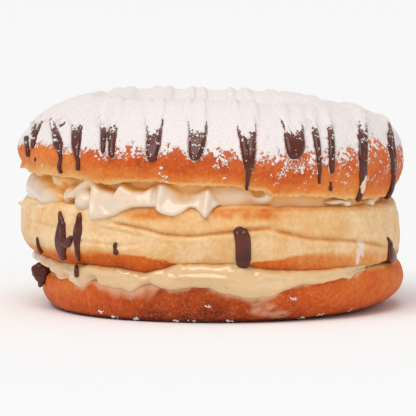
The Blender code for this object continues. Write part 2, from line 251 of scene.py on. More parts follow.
def dusting(tree, colour):
    """A breath of icing sugar over a colour, as thick as the painted value says."""
    thick = painted(tree, "dusted")
    fine = grain(tree, 0.5 * MM, 2, seed=20)
    coarse = grain(tree, 2.2 * MM, 2, seed=21)
    level = calc(tree, "ADD", fine, calc(tree, "MULTIPLY_ADD", coarse, 0.5, -0.25))
    level = calc(tree, "ADD", level, calc(tree, "MULTIPLY_ADD", thick, 0.5, -0.44))
    film = blend(tree, calc(tree, "MULTIPLY", thick, 0.1), colour, tone(226, 206, 196))
    return blend(tree, band(tree, level, 0.44, 0.54), film, tone(232, 220, 214))


def dough_finish(name, stops, dusted=False, smear=None, mottle=0.36):
    """Baked dough: stops are the colours from crumb through golden to dark crust, smear is the
    colour of a filling wiped on it, and mottle says how patchily it browned."""
    material, tree, shader = new_finish(name, roughness=0.6, subsurface_weight=0.15,
                                        subsurface_scale=0.0015, specular_ior_level=0.12)
    shader.inputs["Subsurface Radius"].default_value = (1.0, 0.45, 0.2)
    broad = calc(tree, "MULTIPLY_ADD", grain(tree, 7 * MM, 3), mottle, -mottle / 2)
    fine = calc(tree, "MULTIPLY_ADD", grain(tree, 1.2 * MM, 3, seed=3), 0.34, -0.17)
    level = calc(tree, "ADD", painted(tree, "browned"), broad)
    level = calc(tree, "ADD", level, fine, clamp=True)
    ramp = add(tree, "ValToRGB", {"Fac": level})
    marks = ramp.color_ramp.elements
    while len(marks) < len(stops):
        marks.new(0.5)
    for mark, (position, colour) in zip(marks, stops):
        mark.position = position
        mark.color = colour
    pale = calc(tree, "MULTIPLY", band(tree, grain(tree, 0.55 * MM, 1, seed=8), 0.56, 0.7), 0.34)
    lit = blend(tree, 0.5, ramp.outputs[0], tone(244, 196, 150))
    colour = blend(tree, pale, ramp.outputs[0], lit)
    if dusted:
        colour = dusting(tree, colour)
    if smear:
        colour = blend(tree, painted(tree, "smeared"), colour, smear)
    tree.links.new(colour, shader.inputs["Base Color"])
    tree.links.new(bumps(tree, (grain(tree, 2.4 * MM, 3, seed=1), 0.3 * MM),
                         (grain(tree, 0.6 * MM, 2, seed=2), 0.12 * MM)),
                   shader.inputs["Normal"])
    return material


CRUST_STOPS = (  # how browned the skin is, 0 to 1, and its colour there
    (0.0, tone(244, 208, 158)), (0.25, tone(240, 180, 107)), (0.5, tone(226, 126, 54)),
    (0.72, tone(203, 88, 32)), (1.0, tone(112, 38, 15)),
)


def base_top(angle):
    """Height of the cut, which isn't quite level."""
    return (12.3 + 1.4 * np.sin(angle) + 0.3 * wave(angle, (3, 1, 40))) * MM


def base_radius(angle):
    shift = BASE_SHIFT * np.sin(angle) - 1.5 * MM * bump(angle, -88, 34)
    return BASE_RADIUS + shift + 0.3 * MM * wave(angle, (3, 1, 150))


def base_skin(angle, turn):
    """Radius and height on the bottom slice: turn 0 at the cut, 1 at the belt, 2 at the foot."""
    wide = base_radius(angle)
    if turn <= 1:
        bend = turn * pi / 2
        rise = base_top(angle) - BASE_BELT
        return wide - BASE_SHOULDER * (1 - sin(bend)), BASE_BELT + rise * cos(bend)
    bend = (turn - 1) * pi / 2
    foot = BASE_FOOT - 5.5 * MM * bump(angle, 72, 36) - 3.0 * MM * bump(angle, -80, 34)
    return foot + (wide - foot) * cos(bend), BASE_BELT * (1 - sin(bend))


def base_section(angle):
    top = base_top(angle)
    outer = [base_skin(angle, turn) for turn in (2, 1.75, 1.5, 1.25, 1, 0.7, 0.4, 0.15)]
    inner = [(44 * MM, top), (30 * MM, top), (HOLE_RADIUS + 3.6 * MM, top),
             (HOLE_RADIUS + 1.2 * MM, top - 2 * MM), (HOLE_RADIUS + 0.7 * MM, top * 0.5),
             (HOLE_RADIUS + 2.0 * MM, 1.2 * MM), (HOLE_RADIUS + 4.6 * MM, 0), (30 * MM, 0)]
    return outer + inner


def base_relief(points, angle):
    """Low, soft lumps on the crust, none on the foot or the cut."""
    height = points[:, 2]
    side = smooth(0.6 * MM, 3 * MM, height) * smooth(0, 2 * MM, base_top(angle) - height)
    return side * (0.26 * MM * lumps(points, 9 * MM) + 0.07 * MM * lumps(points, 1.8 * MM, 2, 5))


def base_browning(points, normals, angle):
    """Darker towards the foot as painted shade, with a painted contact shadow along the foot;
    darkest in front, and pale on the cut.
    """
    cut = smooth(0.6, 0.95, normals[:, 2])
    height = points[:, 2]
    # painted shade: darker below the belt, and a painted contact shadow along the foot
    skin = 0.69 + 0.08 * smooth(8 * MM, 1.5 * MM, height)
    skin += 0.3 * smooth(1.6 * MM, 0.2 * MM, height)
    skin += 0.16 * bump(angle, -6, 30) - 0.1 * bump(angle, 70, 28) - 0.08 * bump(angle, -60, 26)
    return skin * (1 - cut) + 0.12 * cut


bottom_slice = ring("bottom_slice", base_section, 480, 5)
push_out(bottom_slice, base_relief)
level_foot = places(bottom_slice)[0]
level_foot[:, 2] = np.maximum(level_foot[:, 2], 0)
move(bottom_slice, level_foot)
paint(bottom_slice, "browned", base_browning)
bottom_slice.data.materials.append(
    dough_finish("browned_dough", CRUST_STOPS, smear=tone(238, 196, 160)))
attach(bottom_slice, "root")
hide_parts("bottom_layer")


# ------------------------------------------------------------
# Custard.  A cooked pastry cream spread on the bottom slice: smooth, moist and pale yellow.  The
# weight above has pushed it over the edge, where it hangs in lobes and climbs the slice above.
MIDDLE_RADIUS = 53.0 * MM
MIDDLE_UNDERCUT = 2.3 * MM
CUSTARD_LOW = (  # angle, height of the lower edge in mm
    (-120, 10.6), (-104, 9.4), (-92, 11.3), (-80, 11.6), (-63, 10.2), (-58, 9.6), (-54, 10.2),
    (-50, 9.4), (-45, 8.1), (-42.6, 9.6), (-40, 10.8), (-37, 9.4), (-33, 8.9), (-29, 9.2),
    (-25.4, 8.2), (-22.5, 9.7), (-20, 10.9), (-16.4, 9.7), (-12.6, 9.0), (-9.5, 9.7),
    (-6, 10.1), (-1, 9.9), (3, 8.8), (8.4, 7.6), (12.6, 6.9), (15, 7.3), (19, 7.6), (22, 9.1),
    (27, 10.5), (33.5, 10.3), (39, 10.9), (42.4, 11.6), (44.8, 10.7), (47, 12.2), (60, 13.6),
    (112, 13.2), (124, 10.8), (133, 11.6), (146, 8.6), (156, 10.2), (166, 9.4), (176, 7.8),
    (187, 9.8), (200, 8.9), (210, 10.6), (222, 8.2), (232, 10.4),
)
MIDDLE_FOOT = (  # angle, height of the middle slice's underside in mm, where the custard ends
    (-100, 15.4), (-80, 15.4), (-64, 15.1), (-57, 14.5), (-48, 14.6), (-35, 14.6), (-29, 14.3),
    (-24, 13.7), (-20, 13.5), (-15, 14.3), (-10, 15.9), (-5, 16.5), (5, 16.5), (10, 16.2),
    (13, 15.0), (20, 14.4), (34, 14.0), (60, 14.2), (80, 14.6), (110, 14.9), (150, 15.2),
    (180, 15.4), (215, 15.2), (245, 15.3),
)
CUSTARD_FACE = (  # angle, how far the face stands out past the slice above in mm
    (-90, 0.9), (-74, 1.2), (-66, 1.1), (-60, 0.9), (-55, -0.2), (-52, 0.2), (-46, 1.9),
    (-40, 1.3), (-34, 1.8), (-25, 1.4), (-20, 1.0), (-13, 2.2), (-5, 2.0), (4, 2.2), (13, 2.2),
    (24, 1.6), (36, 1.2), (44, 1.0), (49, -0.4), (75, -1.5), (112, -1.0), (124, 0.8),
    (150, 1.7), (180, 2.0), (215, 1.5), (250, 1.0),
)
BUBBLES = (  # angle, height and radius in mm
    (4.6, 13.6, 0.6), (4.4, 10.0, 0.75), (8.0, 12.9, 0.4), (10.4, 10.4, 0.35), (17, 11.2, 0.4),
    (-7.5, 12.9, 0.5), (-8.6, 11.6, 0.35), (-30.6, 9.4, 0.6), (-4.9, 11.0, 0.3), (9.2, 8.9, 0.4),
    (152, 12.0, 0.5), (171, 11.0, 0.6), (205, 12.5, 0.4), (-68, 12.6, 0.4),
)


def along(angle, knots, soft=1.2):
    """A value in mm read off knots of (angle, value) round the ring, with the corners
    softened over a few degrees."""
    degrees = [centre for centre, _ in knots]
    values = [value for _, value in knots]
    reads = [np.interp(np.degrees(angle) + soft * step, degrees, values, period=360)
             for step in (-1, -0.5, 0, 0.5, 1)]
    return (reads[0] + 2 * reads[1] + 3 * reads[2] + 2 * reads[3] + reads[4]) / 9 * MM


def middle_under(angle):
    """Height of the middle slice's underside."""
    return along(angle, MIDDLE_FOOT, 2)


def middle_radius(angle):
    return MIDDLE_RADIUS + 0.4 * MM * wave(angle, (2, 1, 100), (7, 0.6, 30))


def middle_undercut(angle):
    """How far the middle slice draws in at its underside."""
    return MIDDLE_UNDERCUT - 1.5 * MM * np.sin(angle)


def base_side(angle, height):
    """Radius of the bottom slice's face at a height above its belt, or just below it."""
    up = np.clip((height - BASE_BELT) / (base_top(angle) - BASE_BELT), 0, 1)
    return base_radius(angle) - BASE_SHOULDER * (1 - np.sqrt(1 - up ** 2))


def custard_section(angle):
    low, face = along(angle, CUSTARD_LOW), along(angle, CUSTARD_FACE)
    high = middle_under(angle) + 0.25 * MM
    inner = middle_radius(angle) - middle_undercut(angle)
    foot = base_side(angle, low)
    tall = high - low
    thick = np.clip(face, 0, 2 * MM)
    return [
        (HOLE_RADIUS + 3 * MM, base_top(angle) - 0.6 * MM),
        (HOLE_RADIUS + 3 * MM, high + 0.4 * MM),
        (inner - 8 * MM + np.minimum(face, 0), high + 0.4 * MM),
        (inner - 1.2 * MM + np.minimum(face, 0), high + 0.1 * MM),
        (inner - 0.2 * MM + 0.35 * face, high - 0.08 * tall),
        (inner + 0.8 * face, high - 0.27 * tall),
        (inner + face, low + 0.45 * tall),
        (foot + 0.25 * MM + face * 0.5, low + 0.22 * tall),
        (foot + 0.4 * MM + 0.15 * thick, low + 0.06 * tall),
        (foot + 0.05 * MM, low - 0.05 * MM),
        (foot - 0.7 * MM, low + 0.3 * MM),
        (foot - 3.0 * MM, base_top(angle) - 1.2 * MM),
    ]


CUSTARD_LIP = (  # angle and height in mm of the lip where the upper layer ends in front
    (-14, 12.2), (-9, 12.9), (0, 13.0), (6, 12.4), (9, 11.4),
)
BUBBLE_RADIUS = 52.4 * MM  # how far out the bubbles lie
MM_PER_DEGREE = 0.9  # on the face of the ring
CUSTARD_FOLDS = (  # height and half width in mm, then angle and height in mm along the fold
    (0.6, 0.85, ((-22, 11.4), (-18, 13.2), (-14, 15.2), (-10, 15.8), (-8, 14.9), (-9.5, 13.9))),
    (0.45, 0.9, ((-47, 12.4), (-41.5, 13.7), (-36, 13.0), (-30, 11.9), (-25, 11.2))),
    (0.4, 0.8, ((-30, 13.6), (-26, 12.9), (-20, 11.6))),
    (0.35, 0.9, ((14, 13.4), (22, 12.6), (31, 12.4), (42, 12.9))),
    (0.3, 1.0, ((-62, 12.0), (-57, 13.4), (-53, 12.4))),
)


def near_path(angle, height, path):
    """Distance in mm from a path of (angle, height), up to 9, over the face of the ring."""
    near = np.full(np.broadcast(angle, height).shape, 9.0)
    for (first, start), (last, end) in zip(path, path[1:]):
        run, rise = (last - first) * MM_PER_DEGREE, end - start
        across, up = (angle - first) * MM_PER_DEGREE, height - start
        share = np.clip((across * run + up * rise) / (run ** 2 + rise ** 2), 0, 1)
        near = np.minimum(near, np.hypot(across - share * run, up - share * rise))
    return near


def custard_relief(points, angle):
    """Soft lumps, folds where one lobe lies on another, a long lip in front, and bubbles."""
    relief = 0.36 * MM * lumps(points * (1, 1, 1.3), 4.6 * MM, 3, 11)
    for swell, half, path in CUSTARD_FOLDS:
        near = near_path(np.degrees(angle), points[:, 2] / MM, path)
        relief += swell * MM * np.exp(-(near / half) ** 2)
    share = smooth(radians(-14), radians(-9), angle) * smooth(radians(9), radians(5), angle)
    above = (points[:, 2] - along(angle, CUSTARD_LIP, 2)) / (0.5 * MM)
    relief += 0.5 * MM * share * (np.exp(-above ** 2) - 0.6 * np.exp(-(above - 1.7) ** 2))
    for centre, height, radius in BUBBLES:
        x, y = BUBBLE_RADIUS * sin(radians(centre)), -BUBBLE_RADIUS * cos(radians(centre))
        away = np.hypot(np.hypot(points[:, 0] - x, points[:, 1] - y) * 0.8,
                        points[:, 2] - height * MM)
        relief -= 0.9 * radius * MM * smooth(radius * MM, 0.3 * radius * MM, away)
    return relief


def cream_finish(name, pale, deep, roughness, coat):
    """Smooth, moist cream that light sinks into a little; deep is a warm colour painted into its
    hollows as shade and light bounced off the dough.
    """
    material, tree, shader = new_finish(name, roughness=roughness, subsurface_weight=0.3,
                                        subsurface_scale=0.0025, coat_weight=coat,
                                        coat_roughness=0.12)
    shader.inputs["Subsurface Radius"].default_value = (1.0, 0.6, 0.3)
    mottle = calc(tree, "MULTIPLY_ADD", grain(tree, 3 * MM, 3, seed=4), 0.4, -0.2)
    # painted shade: the colour of the hollows, as thick as the painted deep value, broken up by
    # the mottle
    share = calc(tree, "ADD", painted(tree, "deep"), mottle, clamp=True)
    tree.links.new(blend(tree, share, pale, deep), shader.inputs["Base Color"])
    tree.links.new(bumps(tree, (grain(tree, 2.5 * MM, 3, seed=5), 0.2 * MM),
                         (grain(tree, 0.6 * MM, 2, seed=6), 0.04 * MM)),
                   shader.inputs["Normal"])
    return material


def film_of(points, angle, patches):
    """Soft-edged patches on a face: angle, height, half width and half height in mm."""
    film = np.zeros(len(points))
    for centre, height, wide, tall in patches:
        turn = angle - radians(centre)
        away = np.sin(turn) * np.hypot(points[:, 0], points[:, 1]) / (wide * MM)
        side = np.cos(turn) > 0
        up = (points[:, 2] - height * MM) / (tall * MM)
        film = np.maximum(film, side * np.exp(-(away ** 2 + up ** 2) ** 2))
    return film


WIPES = (  # where custard is wiped down the crust: angle, half width in degrees, reach in mm
    (-47, 3, 1.6), (-38, 4, 2.0), (-31, 3, 2.6), (-25, 3.5, 2.4), (-20, 2.5, 3.4), (-9, 5, 1.3),
    (3, 4, 1.6), (14, 5, 2.2), (27, 4, 1.0), (48, 4, 1.6), (150, 5, 1.8), (176, 4, 1.4),
    (217, 5, 1.9),
)
FILMS = ((16, 3.8, 4.6, 2.4), (21, 2.3, 3.6, 1.3), (13.2, 5.8, 1.8, 1.8))  # as for film_of


def wiped_custard(points, normals, angle):
    """Custard wiped thin on the crust: ragged fringes below its edge, and streaky films."""
    reach = sum(far * MM * bump(angle, centre, wide) for centre, wide, far in WIPES)
    ragged = 1 + 0.9 * lumps(points * (1, 1, 0.3), 2.4 * MM, 3, 61)
    reach = np.maximum(reach * ragged, 0)
    below = along(angle, CUSTARD_LOW) - points[:, 2]
    fringe = smooth(0.2 * MM, 0.9 * MM, reach) * np.clip(1 - below / (reach + 0.01 * MM), 0, 1)
    streaks = lumps(points * (0.7, 0.7, 1.6), 1.8 * MM, 3, 63)
    film = smooth(0.25, 0.9, film_of(points, angle, FILMS) * (0.8 + 0.7 * streaks))
    return np.maximum(0.85 * fringe ** 1.2, 0.45 * film)


def custard_hollow_shade(points, normals, angle):
    """Painted shade: deeper yellow where the custard lies back between the slices, and on its
    upper faces under the slice above.
    """
    inside = smooth(50.0 * MM, 47.5 * MM, np.hypot(points[:, 0], points[:, 1]))
    return 0.3 * smooth(0.5, 0.95, normals[:, 2]) + inside


paint(bottom_slice, "smeared", wiped_custard)
custard = ring("custard_filling", custard_section, 900, 5)
push_out(custard, custard_relief)
paint(custard, "deep", custard_hollow_shade)
# the second colour is the painted shade of the custard's hollows
custard.data.materials.append(
    cream_finish("pastry_cream", tone(226, 191, 142), tone(228, 162, 78), 0.16, 0.8))
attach(custard, "root")
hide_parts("custard")


# ------------------------------------------------------------
# Middle slice.  The pale heart of the ring between the two cuts: soft crumb that was squeezed as
# it was filled, so long folds run round it, with a browned strip where it meets the crust.
MIDDLE_SHOULDER = 3.0 * MM
CREASES = (  # depth and half width in mm, then angle and height in mm along the fold
    (0.95, 0.55, ((-34, 27.0), (-27, 26.6), (-18, 25.3), (-15, 24.3), (-5, 24.0), (1, 24.7),
                  (12, 25.7), (21, 26.2))),
    (0.9, 0.55, ((15, 25.9), (21, 24.8), (29, 22.9), (43, 21.7), (54, 20.2), (66, 18.0))),
    (0.4, 0.4, ((-35, 25.4), (-29, 25.0), (-23, 24.0), (-19, 23.4))),
    (0.35, 0.45, ((-44, 21.6), (-36, 21.2), (-28, 20.8), (-20, 21.4))),
    (0.3, 0.4, ((-74, 24.6), (-62, 24.9), (-50, 24.2))),
    (0.7, 0.6, ((96, 25.0), (118, 23.2), (140, 24.6), (165, 25.6), (188, 24.2), (206, 22.8))),
    (0.6, 0.6, ((196, 25.8), (220, 26.0), (244, 24.4), (262, 24.8))),
)
BROWN_STRIP = (  # angle, height of the strip's upper edge and how softly it ends, in mm
    (-100, 17.4, 2.4), (-81, 17.4, 2.4), (-74, 17.8, 2.4), (-66, 18.2, 2.4), (-53, 18.0, 2.4),
    (-43, 18.2, 2.2), (-36, 18.4, 1.7), (-28.6, 18.5, 0.9), (-22, 18.2, 0.3), (-18.7, 17.7, 0.3),
    (-15.6, 17.3, 0.3), (-12.5, 16.8, 0.3), (-10, 16.2, 0.3), (-8, 12, 0.3), (10, 12, 0.3),
    (11.2, 16.8, 0.3), (17.4, 17.1, 0.3), (20.5, 17.3, 0.4), (23.8, 17.9, 0.5),
    (27, 18.4, 1.0), (30.5, 18.5, 1.5), (34, 18.3, 1.9), (39.6, 18.0, 2.3), (45.7, 17.8, 2.6),
    (52.6, 17.6, 2.8), (60, 17.2, 2.8), (80, 16.4, 2.4), (95, 16.4, 1.6), (110, 17.8, 0.7),
    (150, 16.4, 0.4), (165, 12, 0.4), (190, 12, 0.4), (205, 17.6, 0.5), (240, 18.2, 1.2),
)
MIDDLE_SMEAR = (  # cream wiped on the face, as for film_of
    (49.0, 20.4, 1.9, 0.8), (48.6, 18.4, 1.5, 1.6), (48.4, 16.2, 0.8, 1.6),
    (50.2, 17.4, 0.5, 0.9), (-64, 29.4, 2.6, 0.25),
)
CRUMB_BROWN = (  # angle, half width in degrees and strength of the brown patches by the cut
    (-20, 7, 1), (0.5, 5, 1), (8, 5, 1), (15, 5, 1), (-6, 24, 0.5), (200, 16, 0.8),
)


def middle_top(angle):
    return (30.9 + 0.8 * bump(angle, 0, 42) - 0.9 * bump(angle, 78, 34)
            + 0.2 * wave(angle, (4, 1, 10))) * MM


def middle_skin(angle, turn):
    """Radius and height on the middle slice's shoulder: turn 0 at the cut, 1 below it."""
    return (middle_radius(angle) - MIDDLE_SHOULDER * (1 - sin(turn * pi / 2)),
            middle_top(angle) - MIDDLE_SHOULDER * (1 - cos(turn * pi / 2)))


def middle_section(angle):
    radius, top, under = middle_radius(angle), middle_top(angle), middle_under(angle)
    cut_in, belt = middle_undercut(angle), under + 2.2 * MM
    lower = [(radius - cut_in, under), (radius - 0.3 * cut_in, belt)]
    tall = top - MIDDLE_SHOULDER - belt
    lean = 0.9 * MM * bump(angle, 90, 38)
    face = [(radius + 0.3 * MM - lean * share, belt + tall * share) for share in (0.3, 0.6, 0.85)]
    shoulder = [middle_skin(angle, turn) for turn in (1, 0.66, 0.33, 0)]
    shoulder = [(wide - lean, height) for wide, height in shoulder]
    inner = [(38 * MM, top), (HOLE_RADIUS + 1.8 * MM, top), (HOLE_RADIUS, (top + under) / 2),
             (HOLE_RADIUS + 1.8 * MM, under), (38 * MM, under)]
    return lower + face + shoulder + inner


def middle_folds(points, angle):
    """How deep each point lies in a fold, in metres, and the swell of dough beside it."""
    outside = np.hypot(points[:, 0], points[:, 1]) > 48 * MM
    depth = np.zeros(len(points))
    for deep, half, knots in CREASES:
        ends = [radians(knots[0][0]), radians(knots[-1][0])]
        turn = (angle - ends[0]) % (2 * pi)
        share = turn / (ends[1] - ends[0])
        fade = smooth(0, 0.12, share) * smooth(1, 0.86, share) * (share < 1)
        away = (points[:, 2] - along(angle, knots, 2.5)) / (half * MM)
        shape = np.exp(-away ** 2) - 0.35 * np.exp(-((np.abs(away) - 2.4) / 1.6) ** 2)
        depth += deep * MM * fade * shape
    return depth * outside


def middle_relief(points, angle):
    """Soft lumps, the folds, one torn flake at the left and a notch in the upper edge."""
    height = points[:, 2]
    flake = 1.5 * MM * bump(angle, -88, 3.2) * np.exp(-((height - 28.5 * MM) / (0.6 * MM)) ** 2)
    notch = 0.5 * MM * bump(angle, 20.5, 1.6) * smooth(26 * MM, 29 * MM, height)
    soft = 0.28 * MM * lumps(points, 9 * MM, 2, 21) + 0.05 * MM * lumps(points, 1.5 * MM, 2, 25)
    return soft - middle_folds(points, angle) + flake - notch


def middle_browning(points, normals, angle):
    """A browned strip along the underside, made darker near the underside with painted shade
    where it tucks under, and patches below the cut; the darker folds and the browner upper face
    in the gap on the right are painted shade.
    """
    height = points[:, 2]
    ragged = 0.3 * MM * lumps(points, 2.6 * MM, 3, 28)
    strip = along(angle, [knot[:2] for knot in BROWN_STRIP], 1) + ragged
    soft = along(angle, [(knot[0], knot[2]) for knot in BROWN_STRIP], 2)
    lower = smooth(0.6, -0.6, (height - strip) / soft)
    # painted shade: the strip darker near the underside, where it tucks under
    foot = smooth(3.2 * MM, 0.2 * MM, height - middle_under(angle))
    fade = 1 - 0.58 * bump(angle, 60, 26) - 0.2 * bump(angle, -80, 20)
    glow = smooth(2.4 * MM, 0.2 * MM, height - strip) * bump(angle, -36, 22)
    drop = middle_top(angle) - height
    edge = smooth(4.6 * MM, 2.4 * MM, drop) * smooth(0.2 * MM, 1.2 * MM, drop)
    patch = edge * np.maximum.reduce([strength * bump(angle, centre, wide)
                                      for centre, wide, strength in CRUMB_BROWN])
    patch = patch * smooth(-0.7, 0.3, lumps(points, 4 * MM, 2, 29))
    # painted shade: upper faces right of the front, in the gap under the crown
    gap_shade = smooth(0.4, 0.9, normals[:, 2]) * smooth(radians(3), radians(16), angle)
    # painted shade in the creases
    folds = smooth(0.12 * MM, 0.7 * MM, middle_folds(points, angle))
    heart = 0.06 + 0.1 * bump(angle, 0, 28)
    heart += 0.08 * bump(angle, 36, 20) * smooth(21 * MM, 24 * MM, height)
    return (heart + (0.5 + 0.12 * foot) * lower * fade + 0.1 * glow + 0.4 * patch + 0.14 * folds
            + 0.16 * gap_shade)


def wiped_cream(points, normals, angle):
    """A streaky smear of cream near the right end, and a thin one by the upper edge."""
    film = film_of(points, angle, MIDDLE_SMEAR)
    streaks = 0.5 * lumps(points * (1.4, 1.4, 0.7), 1.4 * MM, 2, 62)
    return 0.85 * smooth(0.3, 0.7, film + streaks * (film > 0.05))


CRUMB_STOPS = (  # the same for the inner dough
    (0.0, tone(243, 211, 168)), (0.15, tone(233, 188, 132)), (0.33, tone(226, 158, 88)),
    (0.66, tone(212, 102, 33)), (1.0, tone(150, 56, 14)),
)
middle_slice = ring("middle_slice", middle_section, 900, 7)
push_out(middle_slice, middle_relief)
paint(middle_slice, "browned", middle_browning)
paint(middle_slice, "smeared", wiped_cream)
middle_slice.data.materials.append(
    dough_finish("pale_dough", CRUMB_STOPS, smear=tone(240, 222, 206), mottle=0.5))
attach(middle_slice, "root")
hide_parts("middle_layer")


# ------------------------------------------------------------
# Whipped cream.  Piped in fat lobes round the ring from a plain nozzle, and pressed down by the
# top slice until it bulges over the edge in a thick sheet, with folds, peaks and hollows.
CREAM_STEPS = 1250
CREAM_ROWS = 62
CREAM_FLOOR = 26.6 * MM
CREAM_CORE = (  # angle, radius of the recessed cream behind the lobes in mm
    (-120, 48.5), (-92, 48.8), (-78, 48.4), (-66, 47.8), (-50, 47.8), (-38, 48.0), (-20, 48.4),
    (-14, 49.2), (-6, 49.6), (0, 50.2), (10, 50.2), (15, 49.4), (20, 49.6), (26, 49.9),
    (50, 49.8), (75, 48.0), (90, 47.0), (115, 48.0), (150, 49.0), (200, 49.2),
)
CREAM_SHEET = (  # angle, lower edge and upper edge in mm of the sheet that hangs over in front
    (-41.5, 27.9, 37.8), (-38.3, 27.3, 37.4), (-36.5, 26.9, 36.0), (-34.2, 27.4, 35.5),
    (-32.5, 27.8, 35.2), (-30.7, 28.3, 35.0), (-29.9, 28.5, 36.3), (-29.2, 28.8, 37.5),
    (-28.2, 29.4, 37.4), (-26.2, 30.2, 36.4), (-24.5, 30.8, 35.8), (-21.5, 31.1, 35.7),
    (-19.6, 31.2, 36.6), (-17.3, 31.0, 37.8), (-16.4, 30.2, 38.4), (-15.3, 29.8, 38.4),
    (-13.2, 29.1, 37.6), (-11.1, 28.8, 36.4), (-8.6, 29.6, 36.0), (-6.4, 31.2, 35.8),
    (-5.0, 31.0, 35.6), (-3.5, 29.7, 35.9), (-2.0, 28.6, 36.6), (-1.0, 29.2, 36.9),
    (-0.4, 29.9, 36.2), (0.2, 30.6, 35.0), (1.3, 31.5, 33.6), (2.6, 32.3, 32.5),
)
CREAM_FOLDS = (  # depth in mm, half width in degrees, then height and angle along the fold
    (0.9, 1.3, ((38.2, -14.9), (34.5, -15.6), (32, -15.9), (29.4, -14.6))),
    (-1.0, 0.8, ((38, -17.6), (34, -17.3), (31, -17.1))),
    (1.4, 1.3, ((37.3, -1.1), (34, -1.4), (31, -1.9), (28, -2.0))),
    (-2.0, 3.3, ((37.5, -8.2), (35, -8.2), (33.2, -8.4))),
    (0.55, 1.0, ((37.4, -38.0), (33, -38.2), (27, -37.6))),
    (0.5, 1.5, ((38, -29.0), (34.5, -29.8), (33, -30.2))),
    (-0.35, 1.4, ((31.6, -33.5), (29.4, -30.5), (28.2, -28.6))),
    (0.3, 2.6, ((34, -22.6), (33, -22.8), (32, -23))),
)
CREAM_LOBES = (  # angle, height, half width in degrees, half height, radius and depth in mm
    (-82, 33.4, 23, 5.6, 46.0, 6.2), (-65, 31.9, 10, 3.5, 47.6, 4.4),
    (-57, 37.2, 7.5, 2.9, 47.4, 2.9), (-50.2, 33.0, 5.4, 3.1, 47.4, 3.9),
    (-42.6, 31.9, 4.3, 3.2, 48.4, 4.9), (15.3, 34.5, 4.9, 3.0, 48.4, 3.4),
    (5.5, 34.4, 6.8, 3.0, 49.4, 1.5), (41.4, 31.9, 4.2, 0.75, 50.6, 1.3),
    (45.6, 31.3, 1.7, 0.95, 51.0, 1.2), (57.5, 30.9, 1.7, 1.0, 51.2, 1.4),
)
CREAM_HOLLOWS = (  # angle, height, half width in degrees, half height and depth in mm
    (-48.2, 31.3, 2.8, 1.3, 3.0), (14.2, 35.4, 2.2, 1.5, 2.2), (-53.8, 34.8, 1.6, 2.2, 1.4),
)
CREAM_ROLL = ((-48.6, 33.2), (-43.6, 36.0), (-38.8, 38.6))  # angle and height in mm along it
CREAM_BACK = (-109, -124, -137, -151, -166, 179, 166, 150, 137, 122)  # angles of the lobes
SHEET_RADIUS = 54.0  # in mm
SHEET_THICK = 2.8  # in mm
SHEET_ROLL = 1.3  # how far in mm its edge is rounded
ROLL_RADIUS = 1.9  # half the thickness in mm of the small roll beside the sheet
NO_CREAM = 40  # a radius in mm well behind the face
RUN_IN = 2.4  # how sharply one part of the cream meets the next
CROWN_CUT = (  # angle, height in mm at which the knife went through the crown
    (-100, 38.6), (-90, 38.5), (-68, 38.2), (-60.7, 38.4), (-47.3, 38.3), (-42, 37.9),
    (-37.5, 37.2), (-32.6, 37.1), (-28, 37.7), (-23.4, 38.1), (-15.8, 38.5), (-13.6, 38.2),
    (-11.9, 37.5), (-0.8, 37.6), (4.4, 37.2), (10, 36.6), (15.5, 35.9), (17, 35.0),
    (18.3, 34.3), (30, 34.0), (40, 33.2), (47.6, 32.2), (61, 31.7), (90, 31.9), (120, 33.0),
    (150, 35.4), (180, 36.6), (215, 37.6), (245, 38.4),
)


def crown_under(angle):
    """The top slice leans: 7 mm higher on the left than on the right, and it is arched."""
    return along(angle, CROWN_CUT, 0.7)


def fold_over(angle, height, depth, half, knots):
    """A ridge (or a groove) that runs down the sheet."""
    heights = [knot[0] for knot in knots][::-1]
    line = np.interp(height, heights, [knot[1] for knot in knots][::-1])
    fade = smooth(heights[0] - 1.2, heights[0] + 0.6, height)
    fade = fade * smooth(heights[-1] + 1.2, heights[-1] - 0.6, height)
    return depth * fade * np.exp(-((angle - line) / half) ** 2)


def swelling(angle, height, centre, middle, wide, tall):
    """1 in the middle of an egg-shaped lobe, 0 at its rim and beyond."""
    away = (angle - centre + 180) % 360 - 180
    return np.sqrt(np.clip(1 - (away / wide) ** 2 - ((height - middle) / tall) ** 2, 0, 1))


def cream_reach(angle, height, lobes):
    """Radius of the cream's face in mm at an angle in degrees and a height in mm: the core, the
    sheet in front, the lobes and the roll run into one another, and hollows dip into them."""
    turn = np.radians(angle)
    parts = [along(turn, CREAM_CORE, 3) / MM + 0 * height]
    low = along(turn, [(one, low) for one, low, _ in CREAM_SHEET], 0.3) / MM
    high = along(turn, [(one, high) for one, _, high in CREAM_SHEET], 0.3) / MM
    ends = (angle + 29.9 + 0.3 * height, 2.6 - angle + 0 * height)
    inset = np.minimum.reduce([height - low, high - height, *(0.92 * end for end in ends)])
    roll = np.sqrt(np.clip(1 - (1 - np.clip(inset / SHEET_ROLL, 0, 1)) ** 2, 0, 1))
    sheet = SHEET_RADIUS - 0.4 * np.clip(height - 29, 0, 9) - 0.3 * np.clip(29 - height, 0, 3)
    sheet = sheet - SHEET_THICK * (1 - roll)
    for fold in CREAM_FOLDS:
        sheet = sheet + fold_over(angle, height, *fold)
    parts.append(np.where(inset > 0, sheet, NO_CREAM))
    for centre, middle, wide, tall, radius, depth in lobes:
        swell = swelling(angle, height, centre, middle, wide, tall)
        parts.append(np.where(swell > 0, radius + depth * swell, NO_CREAM))
    near = near_path(angle, height, CREAM_ROLL)
    bulge = np.sqrt(np.clip(1 - (near / ROLL_RADIUS) ** 2, 0, 1))
    parts.append(np.where(bulge > 0, 48.2 + 3.2 * bulge, NO_CREAM))
    reach = np.log(sum(np.exp(RUN_IN * (part - 50)) for part in parts)) / RUN_IN + 50
    for centre, middle, wide, tall, depth in CREAM_HOLLOWS:
        reach = reach - depth * swelling(angle, height, centre, middle, wide, tall)
    return reach


